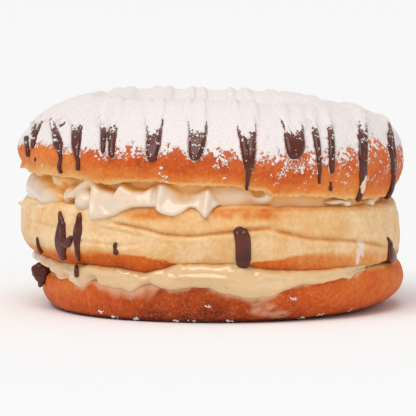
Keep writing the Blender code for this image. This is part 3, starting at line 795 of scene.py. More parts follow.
def back_lobes():
    """The lobes at the back: fat ones shoulder to shoulder, some with a tongue over the edge."""
    chance = Random(11)
    made = []
    for index, centre in enumerate(CREAM_BACK):
        floor = middle_top(radians(centre)) / MM
        half = (crown_under(radians(centre)) / MM - floor) / 2
        made.append((centre, floor + half * chance.uniform(0.7, 1.0), chance.uniform(8.0, 10.5),
                     half * chance.uniform(1.3, 1.6), 47.4, chance.uniform(4.6, 5.8)))
        if index % 3 != 1:
            made.append((centre + chance.uniform(-3, 3), floor + chance.uniform(-0.5, 0.6),
                         chance.uniform(6.0, 8.5), chance.uniform(2.0, 3.2), 49.6, 3.6))
    return made


def cream_section(angle):
    floor, ceiling = middle_top(angle), crown_under(angle)
    degrees = (np.degrees(angle) + 180) % 360 - 180
    lobes = CREAM_LOBES + tuple(back_lobes())
    top = ceiling + 0.5 * MM
    face = []
    for row in range(CREAM_ROWS):
        height = CREAM_FLOOR + (top - CREAM_FLOOR) * row / (CREAM_ROWS - 1)
        face.append((cream_reach(degrees, height / MM, lobes) * MM, height))
    return face + [(40 * MM, top), (HOLE_RADIUS + 2.4 * MM, top),
                   (HOLE_RADIUS + 2.4 * MM, floor - 0.5 * MM), (40 * MM, CREAM_FLOOR)]


def soften(body, rounds):
    """Smooth a mesh a few times over."""
    shape = bmesh.new()
    shape.from_mesh(body.data)
    for _ in range(rounds):
        bmesh.ops.smooth_vert(shape, verts=shape.verts[:], factor=0.5, use_axis_x=True,
                              use_axis_y=True, use_axis_z=True)
    shape.to_mesh(body.data)
    shape.free()


def cream_hollow_shade(points, normals, angle):
    """Painted shade: yellower in the hollows, and under the crown."""
    reach = np.hypot(points[:, 0], points[:, 1])
    shade = smooth(52.0 * MM, 49.0 * MM, reach)
    under_crown = smooth(1.6 * MM, 0.2 * MM, crown_under(angle) - points[:, 2])
    return 0.9 * shade + 0.3 * under_crown * smooth(52.5 * MM, 50.5 * MM, reach)


cream = ring("piped_cream", cream_section, CREAM_STEPS, 1)
soften(cream, 3)
push_out(cream, lambda points, angle: 0.1 * MM * lumps(points, 3.5 * MM, 2, 31))
paint(cream, "deep", cream_hollow_shade)
# the second colour is the painted shade and bounced light of the cream's hollows
whipped = cream_finish("whipped_cream", tone(230, 209, 186), tone(243, 178, 80), 0.27, 0.45)
cream.data.materials.append(whipped)
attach(cream, "root")
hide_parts("whipped_cream")


# ------------------------------------------------------------
# Top slice.  The domed crown of the baked ring, golden brown and pale where the knife went
# through it.  It sits askew on the cream, higher on the left.
TUBE_CENTRE = 34.0 * MM
CROWN_RADIUS = 54.05 * MM
CROWN_HEIGHT = 58.6 * MM
CROWN_BELT = 42.6 * MM
CROWN_CURVE = 1.6  # from crest to belt: 2 is an ellipse, 1 a straight slope
CROWN_UNDERCUT = 1.8 * MM
CROWN_FLAKES = (  # angle, height and size in mm
    (-84, 39.8, 1.6), (-73, 39.0, 1.1), (-67, 38.7, 0.8), (150, 36.2, 1.0), (204, 38.0, 1.2),
)


def crown_top(angle):
    """The crest sinks towards both sides, and further on the right."""
    lean = -1.3 * np.sin(angle) - 1.6 * np.sin(angle) ** 2
    return CROWN_HEIGHT + (lean + 0.25 * wave(angle, (5, 1, 20))) * MM


def crown_radius(angle):
    return CROWN_RADIUS + 0.35 * MM * wave(angle, (3, 1, 60), (5, 0.6, 0))


def crown_belt(angle):
    """Height at which the crown is widest."""
    return CROWN_BELT - 1.7 * MM * np.sin(angle)


def crown_curve(angle):
    return CROWN_CURVE + 0.35 * np.sin(angle) + 0.25 * np.sin(angle) ** 2


def crown_side(angle, height):
    """Radius of the top slice's outer face at a height."""
    belt, curve = crown_belt(angle), crown_curve(angle)
    drop = np.clip((belt - height) / (belt - crown_under(angle)), 0, 1)
    up = np.clip((height - belt) / (crown_top(angle) - belt), 0, 1)
    out = (1 - up ** curve) ** (1 / curve)
    tuck = CROWN_UNDERCUT * (1 + 0.8 * bump(angle, -90, 35) + 1.1 * bump(angle, 90, 30))
    return TUBE_CENTRE + (crown_radius(angle) - TUBE_CENTRE) * out - tuck * drop ** 2


def crown_skin(angle, turn):
    """Radius and height on the top slice: turn 0 at the crest, 1 at the belt, 2 at the cut,
    and from 0 to -1 down the wall of the hole."""
    belt, curve = crown_belt(angle), crown_curve(angle)
    bend = np.minimum(np.abs(turn), 1) * pi / 2
    up = np.maximum(np.cos(bend), 0) ** (2 / curve)
    height = belt + (crown_top(angle) - belt) * up
    height = height - (belt - crown_under(angle)) * np.maximum(turn - 1, 0)
    inner = TUBE_CENTRE + (HOLE_RADIUS - TUBE_CENTRE) * np.sin(bend) ** (2 / curve)
    return np.where(np.asarray(turn) < 0, inner, crown_side(angle, height)), height


def crown_height(x, y):
    """Height of the crown's dough above a point of the plan, outside or inside the crest."""
    angle = atan2(x, -y)
    side = hypot(x, y) - TUBE_CENTRE
    half = crown_radius(angle) - TUBE_CENTRE if side > 0 else TUBE_CENTRE - HOLE_RADIUS
    out = min(abs(side) / half, 1)
    belt, curve = crown_belt(angle), crown_curve(angle)
    return belt + (crown_top(angle) - belt) * (1 - out ** curve) ** (1 / curve)


def crown_section(angle):
    under = crown_under(angle)
    outer = [crown_skin(angle, turn) for turn in
             (1.97, 1.8, 1.6, 1.4, 1.2, 1, 0.85, 0.7, 0.55, 0.4, 0.25, 0.1)]
    inner = [crown_skin(angle, -turn) for turn in (0.1, 0.25, 0.4, 0.55, 0.7, 0.85, 1)]
    return outer + inner + [(HOLE_RADIUS + 1.2 * MM, under + 1.5 * MM),
                            (HOLE_RADIUS + 2.6 * MM, under), (30 * MM, under),
                            (crown_skin(angle, 2)[0] - 1.0 * MM, under)]


def crown_relief(points, angle):
    """Low lumps on the skin, and a torn edge with flakes where the knife went through."""
    torn = smooth(1.3 * MM, 0.1 * MM, points[:, 2] - crown_under(angle))
    flakes = sum(size * MM * bump(angle, centre, 1.9)
                 * np.exp(-((points[:, 2] - height * MM) / (0.6 * MM)) ** 2)
                 for centre, height, size in CROWN_FLAKES)
    return (flakes + 0.14 * MM * lumps(points, 9 * MM, 3, 41)
            + 0.05 * MM * lumps(points, 1.6 * MM, 2, 45)
            + 0.55 * MM * lumps(points, 1.6 * MM, 3, 46) * torn)


def crown_browning(points, normals, angle):
    """Pale at the cut, golden above it, and brown under the sugar."""
    above = points[:, 2] - crown_under(angle)
    rim = 1.2 * MM + 3.0 * MM * bump(angle, -58, 26) + 1.4 * MM * bump(angle, 42, 20)
    skin = 0.12 + 0.3 * smooth(-0.2, 0.9, above / rim) + 0.22 * smooth(0.5, 3.2, above / rim)
    skin += 0.08 * smooth(2.5 * MM, 7 * MM, above) * (bump(angle, -4, 30) - bump(angle, 46, 32))
    return skin * smooth(-0.95, -0.5, normals[:, 2]) + 0.06


SUGAR_EDGE = (  # angle, height in mm down to which the sugar lies thick on the dough
    (-100, 45.5), (-79, 45.2), (-75, 46.6), (-62, 47.2), (-55, 47.2), (-47, 46.6), (-40, 46.6),
    (-35, 46.4), (-28, 47.2), (-24, 47.4), (-20, 47.2), (-13.5, 47.4), (-10, 47.6), (-7, 47.2),
    (-2, 46.8), (2, 46.4), (6, 46.2), (13, 46.0), (18, 45.6), (24, 45.4), (28, 45.6),
    (33, 45.6), (39, 46.4), (43, 46.4), (47, 46.8), (56, 48.6), (62, 48.0), (75, 46.4),
    (90, 46.8), (140, 46.2), (180, 46.6), (220, 46.0),
)
SUGAR_FADE = (  # angle, how far in mm its loose specks reach below that
    (-100, 1.2), (-70, 1.2), (-55, 1.6), (-40, 2.4), (-28, 4.0), (-20, 3.4), (-12, 2.6),
    (-2, 3.6), (6, 5.6), (15, 8.0), (21, 8.6), (29, 10.0), (33, 6.0), (39, 10.5), (46, 9.0),
    (56, 11.5), (62, 12.5), (72, 9.0), (84, 6.0), (120, 4.0), (200, 3.4),
)


def dust_on_dough(points, normals, angle):
    """A film of sugar that thins out below the thick layer."""
    below = along(angle, SUGAR_EDGE, 2) - points[:, 2]
    film = smooth(1.0, -0.2, below / along(angle, SUGAR_FADE, 2))
    return 0.6 * film * smooth(-0.7, -0.2, normals[:, 2])


crown = ring("crown", crown_section, 640, 5)
push_out(crown, crown_relief)
paint(crown, "browned", crown_browning)
paint(crown, "dusted", dust_on_dough)
crown.data.materials.append(dough_finish("golden_dough", CRUST_STOPS, dusted=True))
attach(crown, "root")
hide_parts("top_layer")


# ------------------------------------------------------------
# Chocolate.  Melted and piped to and fro over the ring in a zigzag.  It pooled in the turns, ran
# down in drips, and set with a dull shine.
CHOCOLATE = 1.2 * MM  # half the width of a stroke
STROKE_PROUD = 1.0 * MM
STROKE_STEPS = 230
STROKE_FAN = 0.08  # how much the strokes close up, for each radius of the crown further back
BACK_TURN = 45.8  # mean height in mm of the turns at the back
WIDEST_BEAD = 1.15  # radius in mm of the beads that fill a pool
STROKES = (  # where each pass over the crown starts at the front: x and height in mm
    (-49.0, 49.0), (-46.6, 51.6), (-44.2, 52.6), (-40.6, 52.0), (-37.6, 54.0), (-34.9, 53.6),
    (-29.4, 53.4), (-25.9, 53.6), (-17.4, 56.6), (-13.8, 56.8), (-6.4, 56.6), (-2.6, 56.6),
    (6.4, 55.6), (11.0, 55.8), (19.4, 53.6), (23.6, 53.6), (27.0, 54.0), (30.6, 55.6),
    (41.0, 53.4), (48.9, 50.8),
)
POOLS = (  # each from the top down: height, left edge and right edge in mm
    ((47.4, -51.9, -50.2), (44.5, -50.9, -49.5), (42.9, -50.8, -49.7)),
    ((52.2, -47.3, -46.0), (49.8, -48.7, -46.8), (47.7, -49.7, -47.7), (45.1, -49.5, -47.9)),
    ((42.9, -48.4, -48.0), (41.7, -48.6, -48.1)),
    ((53.0, -44.8, -43.4), (51.4, -44.1, -42.4), (48.8, -43.5, -41.0), (46.8, -43.1, -40.1),
     (45.4, -41.9, -40.2), (43.7, -41.2, -40.3), (41.4, -41.8, -40.7), (39.3, -41.3, -40.3)),
    ((54.6, -38.3, -34.9), (51.6, -38.2, -34.9), (48.7, -38.1, -35.1), (46.9, -38.0, -35.2),
     (45.1, -37.1, -35.4), (43.0, -36.4, -35.4), (40.5, -36.5, -35.3)),
    ((54.0, -30.2, -28.7), (50.2, -29.9, -28.3), (47.0, -29.7, -28.3), (45.3, -29.4, -28.6)),
    ((54.1, -26.9, -25.0), (51.2, -27.9, -25.4), (47.1, -27.8, -25.7), (44.1, -27.2, -25.9)),
    ((57.6, -18.3, -12.9), (54.5, -17.9, -12.8), (51.5, -17.4, -13.3), (48.2, -17.5, -13.6),
     (45.6, -17.5, -14.2), (43.6, -16.6, -15.0)),
    ((57.4, -7.2, -2.1), (54.6, -6.6, -1.2), (51.6, -6.1, -1.3), (48.3, -6.2, -1.8),
     (45.8, -6.1, -2.6), (44.0, -5.3, -3.8)),
    ((56.5, 5.4, 11.2), (52.9, 6.6, 12.0), (49.6, 7.4, 11.7), (45.8, 8.0, 11.6),
     (42.6, 8.6, 11.2), (41.0, 9.2, 10.4), (38.5, 9.0, 9.9), (36.3, 8.8, 9.5)),
    ((54.4, 18.4, 24.3), (51.9, 19.1, 24.7), (48.1, 19.5, 24.9), (46.1, 19.8, 24.3),
     (44.1, 20.9, 23.1)),
    ((54.6, 26.0, 27.9), (51.7, 26.7, 28.6), (47.9, 27.3, 29.2), (44.5, 27.9, 29.2),
     (41.0, 28.2, 29.3), (39.0, 28.4, 29.0), (37.3, 28.4, 29.1)),
    ((56.2, 29.8, 31.4), (53.5, 30.3, 32.6), (50.3, 31.0, 33.2), (46.5, 31.2, 33.2),
     (42.5, 31.2, 32.9), (39.9, 31.5, 32.6)),
    ((37.8, 31.7, 32.1), (36.6, 31.7, 32.2)),
    ((36.1, 31.4, 32.3), (35.2, 31.4, 32.3)),
    ((54.0, 39.7, 42.4), (51.0, 39.5, 42.6), (47.2, 39.4, 42.5), (43.2, 39.5, 42.3),
     (39.1, 39.6, 42.3), (35.5, 39.9, 41.3), (32.8, 39.0, 40.6), (31.8, 39.1, 40.1)),
    ((51.6, 47.9, 49.9), (49.0, 48.1, 50.4), (45.7, 47.7, 50.6), (42.3, 48.4, 51.0),
     (38.0, 48.9, 51.1), (34.0, 48.6, 50.4), (32.0, 47.6, 49.4), (30.8, 47.8, 48.8)),
)


def finder(body):
    """A search tree over a piece's faces."""
    mesh = body.data
    return BVHTree.FromPolygons([vert.co for vert in mesh.vertices],
                                [poly.vertices for poly in mesh.polygons])


def spot_on(tree, x, height, back=False):
    """The point of a face that shows at x and a height, from the front or from the back, and
    the direction in which the face looks."""
    look = Vector((0, -1 if back else 1, 0))
    return tree.ray_cast(Vector((x, 0, height)) - look * 90 * MM, look)[:2]


def mould(subdivisions):
    """A ball of radius 1, to stamp copies of."""
    shape = bmesh.new()
    bmesh.ops.create_icosphere(shape, subdivisions=subdivisions, radius=1)
    mesh = bpy.data.meshes.new("bead")
    shape.to_mesh(mesh)
    shape.free()
    return mesh


def stamp(shape, mesh, matrix):
    """Add a copy of a mesh, moved and sized by a matrix, to a bmesh."""
    copy = mesh.copy()
    copy.transform(matrix)
    shape.from_mesh(copy)
    bpy.data.meshes.remove(copy)


def pour(shape, tree, outline, proud, swell=0.0, back=False, wider=0.16):
    """Fill an outline of heights with their left and right edges with beads.  They stand proud
    of the face, swell by so much more at the lower end and sink a little in the middle, and
    are set wider than the outline, because the skin round them shrinks."""
    tops = [row[0] for row in outline][::-1]
    low, high = tops[0], tops[-1]
    for height in np.arange(high, low, -0.45):
        left, right = (np.interp(height, tops, [row[side] for row in outline][::-1]) + more
                       for side, more in ((1, -wider), (2, wider)))
        radius = min((right - left) / 2, WIDEST_BEAD)
        if height - low < 0.9 * radius:
            height = low + 0.9 * radius
        across = max(1, 1 + round((right - left - 2 * radius) / 0.6))
        for share in np.linspace(0, 1, across) if across > 1 else (0.5,):
            x = left + radius + (right - left - 2 * radius) * share
            spot, out = spot_on(tree, x * MM, height * MM, back)
            if spot is None:
                continue
            rise = min(proud, 1.3 * radius) + swell * smooth(6.5, 1.5, height - low)
            rise -= (0.3 * smooth(0.9, 2.0, min(x - left, right - x))
                     * smooth(5.0, 9.0, height - low))
            stamp(shape, BEAD, Matrix.Translation(spot + out * (rise - radius) * MM)
                  @ Matrix.Scale(radius * MM, 4))


def run_over(shape, tree, x, height):
    """One pass of chocolate from the front face to the back face, broken over the hole."""
    front = spot_on(tree, x * MM, height * MM)[0].y
    back = -0.93 * front
    for step in range(STROKE_STEPS + 1):
        y = front + (back - front) * step / STROKE_STEPS
        across = x * MM * (1 - STROKE_FAN * (y - front) / CROWN_RADIUS)
        across += 0.3 * MM * sin(y * 190 + x * 0.9)
        if hypot(across, y) < HOLE_RADIUS + 2.4 * MM:
            continue
        size = CHOCOLATE * (1 + 0.14 * sin(y * 330 + x * 0.7))
        place = Vector((across, y, crown_height(across, y) + STROKE_PROUD - size))
        stamp(shape, BEAD, Matrix.Translation(place) @ Matrix.Scale(size, 4))


def back_pool(index, left, right):
    """The outline of a turn at the back, where two strokes meet."""
    low = BACK_TURN - 2.2 * sin(index * 2.1)
    middle, half = (left + right) / 2, (right - left) / 2
    tight = half - min(2.2, half - 0.6)
    rows = [(54.5, half + 1.0), (51.0, half + 0.8 - 0.4 * tight), (low + 2.4, half + 0.4 - tight),
            (low, half - 0.6 - tight)]
    if index % 3 == 0:
        rows += [(low - 1.4, 0.6), (low - 4.4, 0.5)]
    return [(height, middle - wide, middle + wide) for height, wide in rows]


def run_together(name, shape, voxel, rounds):
    """One smooth skin round everything in a bmesh."""
    rough = to_object(name + "_rough", shape)
    skin = rough.modifiers.new("run_together", "REMESH")
    skin.mode = "VOXEL"
    skin.voxel_size = voxel
    soft = rough.modifiers.new("soft", "SMOOTH")
    soft.factor = 0.5
    soft.iterations = rounds
    bpy.context.view_layer.update()
    mesh = bpy.data.meshes.new_from_object(
        rough.evaluated_get(bpy.context.evaluated_depsgraph_get()))
    bpy.data.meshes.remove(rough.data)
    mesh.name = name
    mesh.shade_smooth()
    body = bpy.data.objects.new(name, mesh)
    bpy.context.scene.collection.objects.link(body)
    return body


def chocolate_finish():
    material, tree, shader = new_finish("dark_chocolate", roughness=0.3, coat_weight=0.3,
                                        coat_roughness=0.16, specular_ior_level=0.25)
    shade = band(tree, grain(tree, 4 * MM, 2, seed=7), 0.3, 0.7)
    colour = blend(tree, shade, tone(99, 39, 23), tone(72, 27, 16))
    tree.links.new(dusting(tree, colour), shader.inputs["Base Color"])
    tree.links.new(bumps(tree, (grain(tree, 1.4 * MM, 2, seed=9), 0.06 * MM)),
                   shader.inputs["Normal"])
    return material


def dust_on_chocolate(points, normals, angle):
    """Sugar on the upper ends of the runs."""
    return 0.7 * smooth(48 * MM, 52.5 * MM, points[:, 2]) * smooth(-0.5, 0.3, normals[:, 2])


BEAD = mould(2)
crown_faces = finder(crown)
front = bmesh.new()
for pool in POOLS:
    wide = max(row[2] - row[1] for row in pool)
    pour(front, crown_faces, pool, 1.1, 0.35 if wide > 3.4 else 0.15)
over = bmesh.new()
for x, height in STROKES:
    run_over(over, crown_faces, x, height)
squeeze = 1 - STROKE_FAN * 1.7  # how far the strokes have closed up at the back
for index in range(1, len(STROKES) - 1, 2):
    left, right = (STROKES[side][0] * squeeze for side in (index, index + 1))
    pour(over, crown_faces, back_pool(index, left, right), 0.95, 0.3, back=True)
chocolate = chocolate_finish()
runs = run_together("chocolate_runs", front, 0.26 * MM, 5)
zigzag = run_together("chocolate_zigzag", over, 0.42 * MM, 3)
for body in (runs, zigzag):
    paint(body, "dusted", dust_on_chocolate)
    body.data.materials.append(chocolate)
    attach(body, "root")
    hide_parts("top_layer")


# ------------------------------------------------------------
# Stray chocolate.  Drops that missed the crown and set on the slices below: leaf-shaped runs,
# a thick bar and a few spots.  A dab of cream sits on one of the drips.
STRAYS_ON_MIDDLE = (  # from the top down: height, left edge and right edge in mm
    ((28.5, -41.4, -40.9), (26.9, -41.4, -40.1), (25.3, -41.8, -39.5), (23.1, -42.3, -39.4),
     (21.2, -42.6, -39.3), (19.3, -42.3, -39.3), (17.9, -41.7, -39.6), (16.6, -41.4, -39.4),
     (15.5, -40.8, -39.7)),
    ((22.2, -38.2, -37.5), (21.4, -38.9, -37.5), (20.5, -39.8, -37.8), (19.4, -40.4, -38.6)),
    ((28.6, -35.9, -35.3), (27.3, -36.4, -35.0), (25.4, -37.0, -34.9), (23.5, -37.4, -35.0),
     (21.6, -37.3, -35.5), (20.0, -36.7, -35.6), (18.3, -36.6, -35.6), (17.0, -36.3, -35.6),
     (15.8, -36.1, -35.7)),
    ((20.7, -47.9, -47.6), (19.4, -47.8, -47.3), (18.1, -47.6, -46.9), (17.0, -47.2, -46.4),
     (16.2, -47.0, -46.5)),
    ((21.4, -26.0, -25.4), (20.4, -26.2, -25.6), (19.7, -26.0, -25.7), (19.2, -26.1, -25.0),
     (18.3, -25.8, -25.2)),
    ((25.8, 6.3, 8.3), (25.1, 5.9, 9.4), (23.8, 6.2, 10.1), (21.9, 6.5, 10.3),
     (17.8, 6.5, 10.3), (16.3, 6.9, 9.9), (15.2, 7.8, 9.1)),
    ((20.6, 48.0, 48.5), (19.3, 48.5, 49.4), (18.2, 48.0, 49.6), (16.7, 48.0, 50.3),
     (15.2, 47.9, 50.8), (14.2, 48.5, 50.8), (13.1, 49.5, 50.6)),
)
STRAYS_ON_BASE = (  # a spot that reaches down over the custard
    ((13.9, -36.8, -36.2), (12.8, -36.9, -36.0), (11.3, -36.8, -36.0)),
)
CHUNK = (  # x, y, z and radius in mm of the lumps that make up the thick chunk on the left
    (-46.6, -13.5, 12.6, 1.1), (-47.6, -14, 11.4, 1.9), (-48.8, -14, 11.2, 1.4),
    (-46.4, -14.5, 10.6, 1.7), (-48.4, -14, 10.2, 1.6), (-46.8, -14.5, 9.2, 1.6),
    (-48.0, -14, 9.0, 1.3), (-47.2, -14.5, 7.8, 1.2), (-47.6, -14.5, 6.8, 0.7),
)
CREAM_DAB = (  # from the top down, on the last drip but one at the right
    (38.5, 41.5, 42.3), (37.1, 40.8, 42.3), (35.7, 40.5, 41.9), (34.6, 40.5, 41.4),
    (33.8, 40.6, 41.1),
)


def nowhere(points, normals, angle):
    """Nothing to paint on any point."""
    return 0 * angle


for name, outlines, chunk, under, node in (
        ("spilt_on_middle", STRAYS_ON_MIDDLE, (), middle_slice, "middle_layer"),
        ("spilt_on_base", STRAYS_ON_BASE, CHUNK, custard, "bottom_layer")):
    drops = bmesh.new()
    faces = finder(under)
    for x, y, z, radius in chunk:
        stamp(drops, BEAD, Matrix.Translation(Vector((x, y, z)) * MM)
              @ Matrix.Scale(radius * MM, 4))
    for outline in outlines:
        pour(drops, faces, outline, 1.15, 0.25, wider=0.3)
    body = run_together(name, drops, 0.2 * MM, 5)
    paint(body, "dusted", nowhere)
    body.data.materials.append(chocolate)
    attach(body, "root")
    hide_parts(node)
touch = bmesh.new()
pour(touch, finder(runs), CREAM_DAB, 0.25)
dab = run_together("cream_dab", touch, 0.16 * MM, 4)
paint(dab, "deep", nowhere)
dab.data.materials.append(whipped)
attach(dab, "root")
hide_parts("top_layer")


# ------------------------------------------------------------
# Icing sugar.  Dusted thickly through a sieve over dough and chocolate alike; it lies deep on
# the crown, thins down the sides to loose clumps, and slides off the chocolate's steep sides.
SUGAR_DEPTH = 0.36 * MM
SUGAR_STEPS = 1300
SUGAR_ROWS = 36
CHOCOLATE_EDGE = 51.0 * MM  # height down to which the sugar lies thick on the chocolate
DRAPE = 4 * MM  # how far above the dough chocolate is looked for
UNDERSIDE = -0.45  # faces that look further down than this carry no sugar


def sugar_section(angle):
    """Close rows down the face where the sugar frays, and wide ones over the crest."""
    edge, fade = along(angle, SUGAR_EDGE, 2), along(angle, SUGAR_FADE, 2)
    low, high = edge - 1.4 * MM - 0.6 * fade, edge + 5.2 * MM
    low = np.maximum(low, crown_under(angle) + 0.8 * MM)
    belt = crown_belt(angle)
    start = np.arccos(((high - belt) / (crown_top(angle) - belt)) ** (crown_curve(angle) / 2))
    outer = []
    for row in range(SUGAR_ROWS):
        height = low + (high - low) * row / SUGAR_ROWS
        outer.append((crown_side(angle, height), height))
    top = [crown_skin(angle, start * 2 / pi * (1 - row / 13)) for row in range(14)]
    hole = [crown_skin(angle, -0.052 * row) for row in range(1, 18)]
    inner = [crown_skin(angle, turn) for turn in (-0.6, 0, 0.6)]
    return outer + top + hole + [(radius, height - 1.4 * MM) for radius, height in inner]


def neighbours(body):
    """The two ends of each edge of a mesh, as two arrays."""
    pairs = np.empty(len(body.data.edges) * 2, dtype=np.int32)
    body.data.edges.foreach_get("vertices", pairs)
    return pairs.reshape(-1, 2).T


def spread(body, values, rounds):
    """The values on a mesh's points, evened out over their neighbours."""
    first, last = neighbours(body)
    points = places(body)[0]
    pull = 1 / (((points[first] - points[last]) ** 2).sum(axis=1) + (0.08 * MM) ** 2)
    total = np.bincount(first, pull, len(points)) + np.bincount(last, pull, len(points))
    for _ in range(rounds):
        drawn = (np.bincount(first, pull * values[last], len(points))
                 + np.bincount(last, pull * values[first], len(points)))
        values = 0.4 * values + 0.6 * drawn / total
    return values


def highest_near(body, values):
    """On each point of a mesh, the highest value there or among its neighbours."""
    first, last = neighbours(body)
    highest = values.copy()
    np.maximum.at(highest, first, values[last])
    np.maximum.at(highest, last, values[first])
    return highest


def rise_over(points, normals, under):
    """How far the chocolate stands above each point."""
    raised = np.zeros(len(points))
    for tree in under:
        for index, (point, normal) in enumerate(zip(points, normals)):
            if normal[2] < UNDERSIDE:
                continue
            out = Vector(normal)
            hit = tree.ray_cast(Vector(point) + out * DRAPE, -out, DRAPE)
            if hit[0] is not None:
                raised[index] = max(raised[index], DRAPE - hit[3])
    return raised


def lay_sugar(body, under):
    """Lift the shell onto the chocolate under it and give it its depth, sunk below the dough
    where no sugar lies.  It slides off the steep sides of the lower runs."""
    points, normals = places(body)
    angle = around(points)
    raised = rise_over(points, normals, under)
    move(body, points + normals * raised[:, None])
    draped, slopes = places(body)
    steep = 1 - np.clip((slopes * normals).sum(axis=1), 0, 1)
    move(body, points)
    soft_raise = np.maximum(spread(body, raised, 14), 0.9 * highest_near(body, raised))
    height = draped[:, 2]
    edge, fade = along(angle, SUGAR_EDGE, 2), along(angle, SUGAR_FADE, 2)
    on_dough = (height - edge + 0.1 * fade) / (0.4 * fade + 1.1 * MM)
    on_chocolate = (height - CHOCOLATE_EDGE) / (2.5 * MM)
    share = smooth(0.03 * MM, 0.15 * MM, np.maximum(raised, 1.3 * spread(body, raised, 2)))
    cover = np.minimum(on_dough * (1 - share) + on_chocolate * share, 1.8)
    cover += 1.1 * lumps(draped, 0.9 * MM, 3, 51) + 0.8 * lumps(draped, 3.2 * MM, 2, 55)
    slide = smooth(58.5 * MM, 52.5 * MM, height) * (1 + 0.8 * lumps(draped, 2.4 * MM, 2, 56))
    slide *= smooth(38 * MM, 42 * MM, np.hypot(points[:, 0], points[:, 1]))
    cover -= 4.2 * np.minimum(steep, 0.8) * slide
    lies = smooth(-0.25, 0.25, cover)
    depth = SUGAR_DEPTH * (0.5 + 0.5 * smooth(0, 1.6, cover))
    depth += (0.07 * lumps(draped, 2.0 * MM, 3, 57) + 0.12 * lumps(draped, 6 * MM, 2, 58)) * MM
    lift = (soft_raise + depth) * lies + (raised - 0.16 * MM) * (1 - lies)
    lift[normals[:, 2] < UNDERSIDE] = -0.3 * MM
    move(body, points + normals * lift[:, None])


def sugar_finish():
    material, tree, shader = new_finish("icing_sugar", roughness=0.9, specular_ior_level=0.15,
                                        subsurface_weight=0.1, subsurface_scale=0.0008)
    powder = band(tree, grain(tree, 0.5 * MM, 3, seed=12), 0.3, 0.7)
    colour = blend(tree, powder, tone(228, 217, 213), tone(239, 231, 228))
    tree.links.new(colour, shader.inputs["Base Color"])
    tree.links.new(bumps(tree, (grain(tree, 1.6 * MM, 3, seed=13), 0.08 * MM),
                         (grain(tree, 0.35 * MM, 2, seed=14), 0.05 * MM)),
                   shader.inputs["Normal"])
    return material


sugar = ring("icing_sugar_coat", sugar_section, SUGAR_STEPS, 1)
push_out(sugar, crown_relief)
chocolate_faces = (finder(runs), finder(zigzag))
lay_sugar(sugar, chocolate_faces)
icing = sugar_finish()
sugar.data.materials.append(icing)
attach(sugar, "root")
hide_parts("top_layer")


# ------------------------------------------------------------
# Loose sugar.  Small clumps that rolled off the thick layer and caught on the dough, on the
# chocolate and at the foot of the ring.
SPECKS = 7800
STRAY_SHARE = 0.12  # of the clumps, which lie higher up or on the chocolate
SPECK_PATCHES = (  # angle, height in mm, spread in mm and how many clumps lie there
    (-38.5, 2.0, 0.9, 9), (-34, 0.7, 1.1, 12), (-25.5, 0.6, 1.0, 10), (-11.6, 0.6, 0.8, 9),
    (-6.5, 0.7, 1.1, 5), (-1, 5.0, 0.7, 6), (5.5, 0.7, 0.8, 6), (24.5, 6.6, 0.8, 6),
    (36.5, 1.6, 0.8, 10), (30.5, 0.8, 1.4, 8), (50, 1.8, 0.7, 4), (150, 0.8, 1.2, 9),
    (188, 0.8, 1.2, 8), (230, 1.0, 1.1, 8), (-14.4, 42.2, 0.5, 5), (-13.6, 39.8, 0.6, 8),
    (-13.3, 38.4, 0.3, 3), (-15, 40.6, 0.4, 3), (3.4, 39.6, 0.4, 3), (-60, 41.0, 0.3, 3),
)


def settle(trees, angle, height):
    """The outermost point over a height at an angle, the way its face looks, and which of the
    trees it lies on."""
    out = Vector((sin(angle), -cos(angle), 0))
    start = out * 80 * MM + Vector((0, 0, height))
    hits = [(*tree.ray_cast(start, -out), index) for index, tree in enumerate(trees)]
    hits = [hit for hit in hits if hit[0] is not None]
    if not hits:
        return None, None, 0
    place, facing, _, _, index = min(hits, key=lambda hit: hit[3])
    return place, facing, index


def clump(shape, place, out, size, chance):
    """One clump: a flattened, uneven bead lying on a face."""
    turn = out.to_track_quat("Z", "Y").to_matrix().to_4x4()
    stamp(shape, GRAIN, Matrix.Translation(place + out * size * 0.15) @ turn
          @ Matrix.Rotation(chance.uniform(0, 2 * pi), 4, "Z")
          @ Matrix.Rotation(chance.uniform(-0.5, 0.5), 4, "X")
          @ Matrix.Diagonal((size * chance.uniform(0.8, 1.5), size * chance.uniform(0.6, 1.0),
                             size * 0.6, 1)))


def scatter_below_edge(shape, chance):
    """Clumps that thin out below the thick sugar, in drifts."""
    turns = np.array([chance.uniform(-pi, pi) for _ in range(SPECKS * 4)])
    depths = np.array([chance.random() ** 1.3 for _ in turns])
    edges, fades = along(turns, SUGAR_EDGE, 2), along(turns, SUGAR_FADE, 2)
    heights = edges + 1.4 * MM - (fades + 1.4 * MM) * depths
    spots = np.stack([54 * MM * np.sin(turns), -54 * MM * np.cos(turns), heights], axis=1)
    crowd = 0.9 * lumps(spots, 1.5 * MM, 2, 71) + 0.7 * lumps(spots, 4.5 * MM, 2, 72)
    kept = (crowd > 0.42 * depths - 0.07) & (heights > crown_under(turns) + 1 * MM)
    for turn, height in list(zip(turns[kept], heights[kept]))[:SPECKS]:
        if chance.random() < STRAY_SHARE:
            height = chance.uniform(49.0, 53.0) * MM
        spot, out, under = settle((crown_faces, *chocolate_faces), turn, height)
        on_dough = under == 0 or height > 48 * MM
        if spot is not None and (on_dough or chance.random() < STRAY_SHARE):
            clump(shape, spot, out, chance.uniform(0.09, 0.26) * MM, chance)


def scatter_patches(shape, chance):
    """Small heaps of larger clumps on the crusts."""
    crusts = (finder(bottom_slice), crown_faces)
    for centre, height, wide, count in SPECK_PATCHES:
        for _ in range(count):
            away = chance.gauss(0, 0.5) * wide
            level = max(0.3, height + chance.gauss(0, 0.22) * wide) * MM
            spot, out, _ = settle(crusts, radians(centre) + away / 50, level)
            if spot is not None:
                clump(shape, spot, out, chance.uniform(0.2, 0.42) * MM, chance)


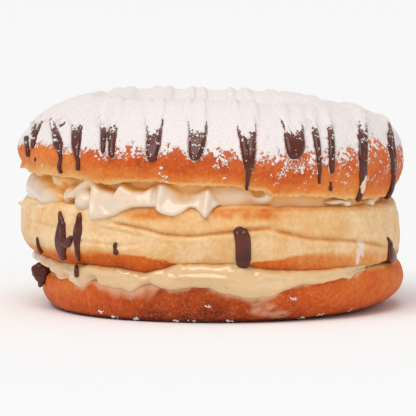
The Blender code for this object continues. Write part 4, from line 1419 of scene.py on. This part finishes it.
GRAIN = mould(1)
chance = Random(5)
loose = bmesh.new()
scatter_below_edge(loose, chance)
scatter_patches(loose, chance)
for vert in loose.verts:
    vert.co.z = max(vert.co.z, 0.02 * MM)
specks = to_object("loose_sugar", loose)
specks.data.materials.append(icing)
bpy.data.meshes.remove(BEAD)
bpy.data.meshes.remove(GRAIN)
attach(specks, "root")
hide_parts("top_layer")


# ------------------------------------------------------------
# Studio.  A pale seamless sheet under soft lamps, and a long lens almost level with the table.
CAMERA_DISTANCE = 1.0
CAMERA_RISE = radians(4.75)
SENSOR = 36
VIEW_WIDTH = 117.0 * MM  # what the view takes in at the middle of the ring
AIM = Vector((-1.0 * MM, 0, 27.1 * MM))
FILL_PLACE = Vector((0.85, -0.95, 0.12))


def hang(lamp, shines, place=(0, 0, 0)):
    """Hang a lamp so that it shines in a direction."""
    body = bpy.data.objects.new(lamp.name, lamp)
    body.location = place
    body.rotation_euler = Vector(shines).to_track_quat("-Z", "Y").to_euler()
    bpy.context.scene.collection.objects.link(body)


camera = bpy.data.objects.new("camera", bpy.data.cameras.new("camera"))
camera.location = AIM + CAMERA_DISTANCE * Vector((0, -cos(CAMERA_RISE), sin(CAMERA_RISE)))
camera.rotation_euler = (pi / 2 - CAMERA_RISE, 0, 0)
camera.data.sensor_width = SENSOR
camera.data.lens = SENSOR * CAMERA_DISTANCE / VIEW_WIDTH
camera.data.clip_start = 0.01
bpy.context.scene.collection.objects.link(camera)
bpy.context.scene.camera = camera

sheet = bmesh.new()
bmesh.ops.create_grid(sheet, x_segments=1, y_segments=1, size=6)
floor = to_object("table", sheet)
white, tree, shader = new_finish("pale_table", roughness=0.8, specular_ior_level=0.1)
shader.inputs["Base Color"].default_value = (0.95, 0.95, 0.95, 1)
floor.data.materials.append(white)

sun = bpy.data.lights.new("sun", "SUN")
sun.energy = 1.75
sun.angle = radians(50)
hang(sun, (0.25, 0.55, -1))
fill = bpy.data.lights.new("fill", "AREA")
fill.shape = "DISK"
fill.size = 0.8
fill.energy = 1.4
hang(fill, AIM - FILL_PLACE, FILL_PLACE)
world = bpy.data.worlds.new("studio")
world.use_nodes = True
sky = world.node_tree.nodes["Background"]
sky.inputs["Color"].default_value = (1, 1, 1, 1)
sky.inputs["Strength"].default_value = 0.53
bpy.context.scene.world = world
bpy.context.scene.view_settings.view_transform = "Standard"
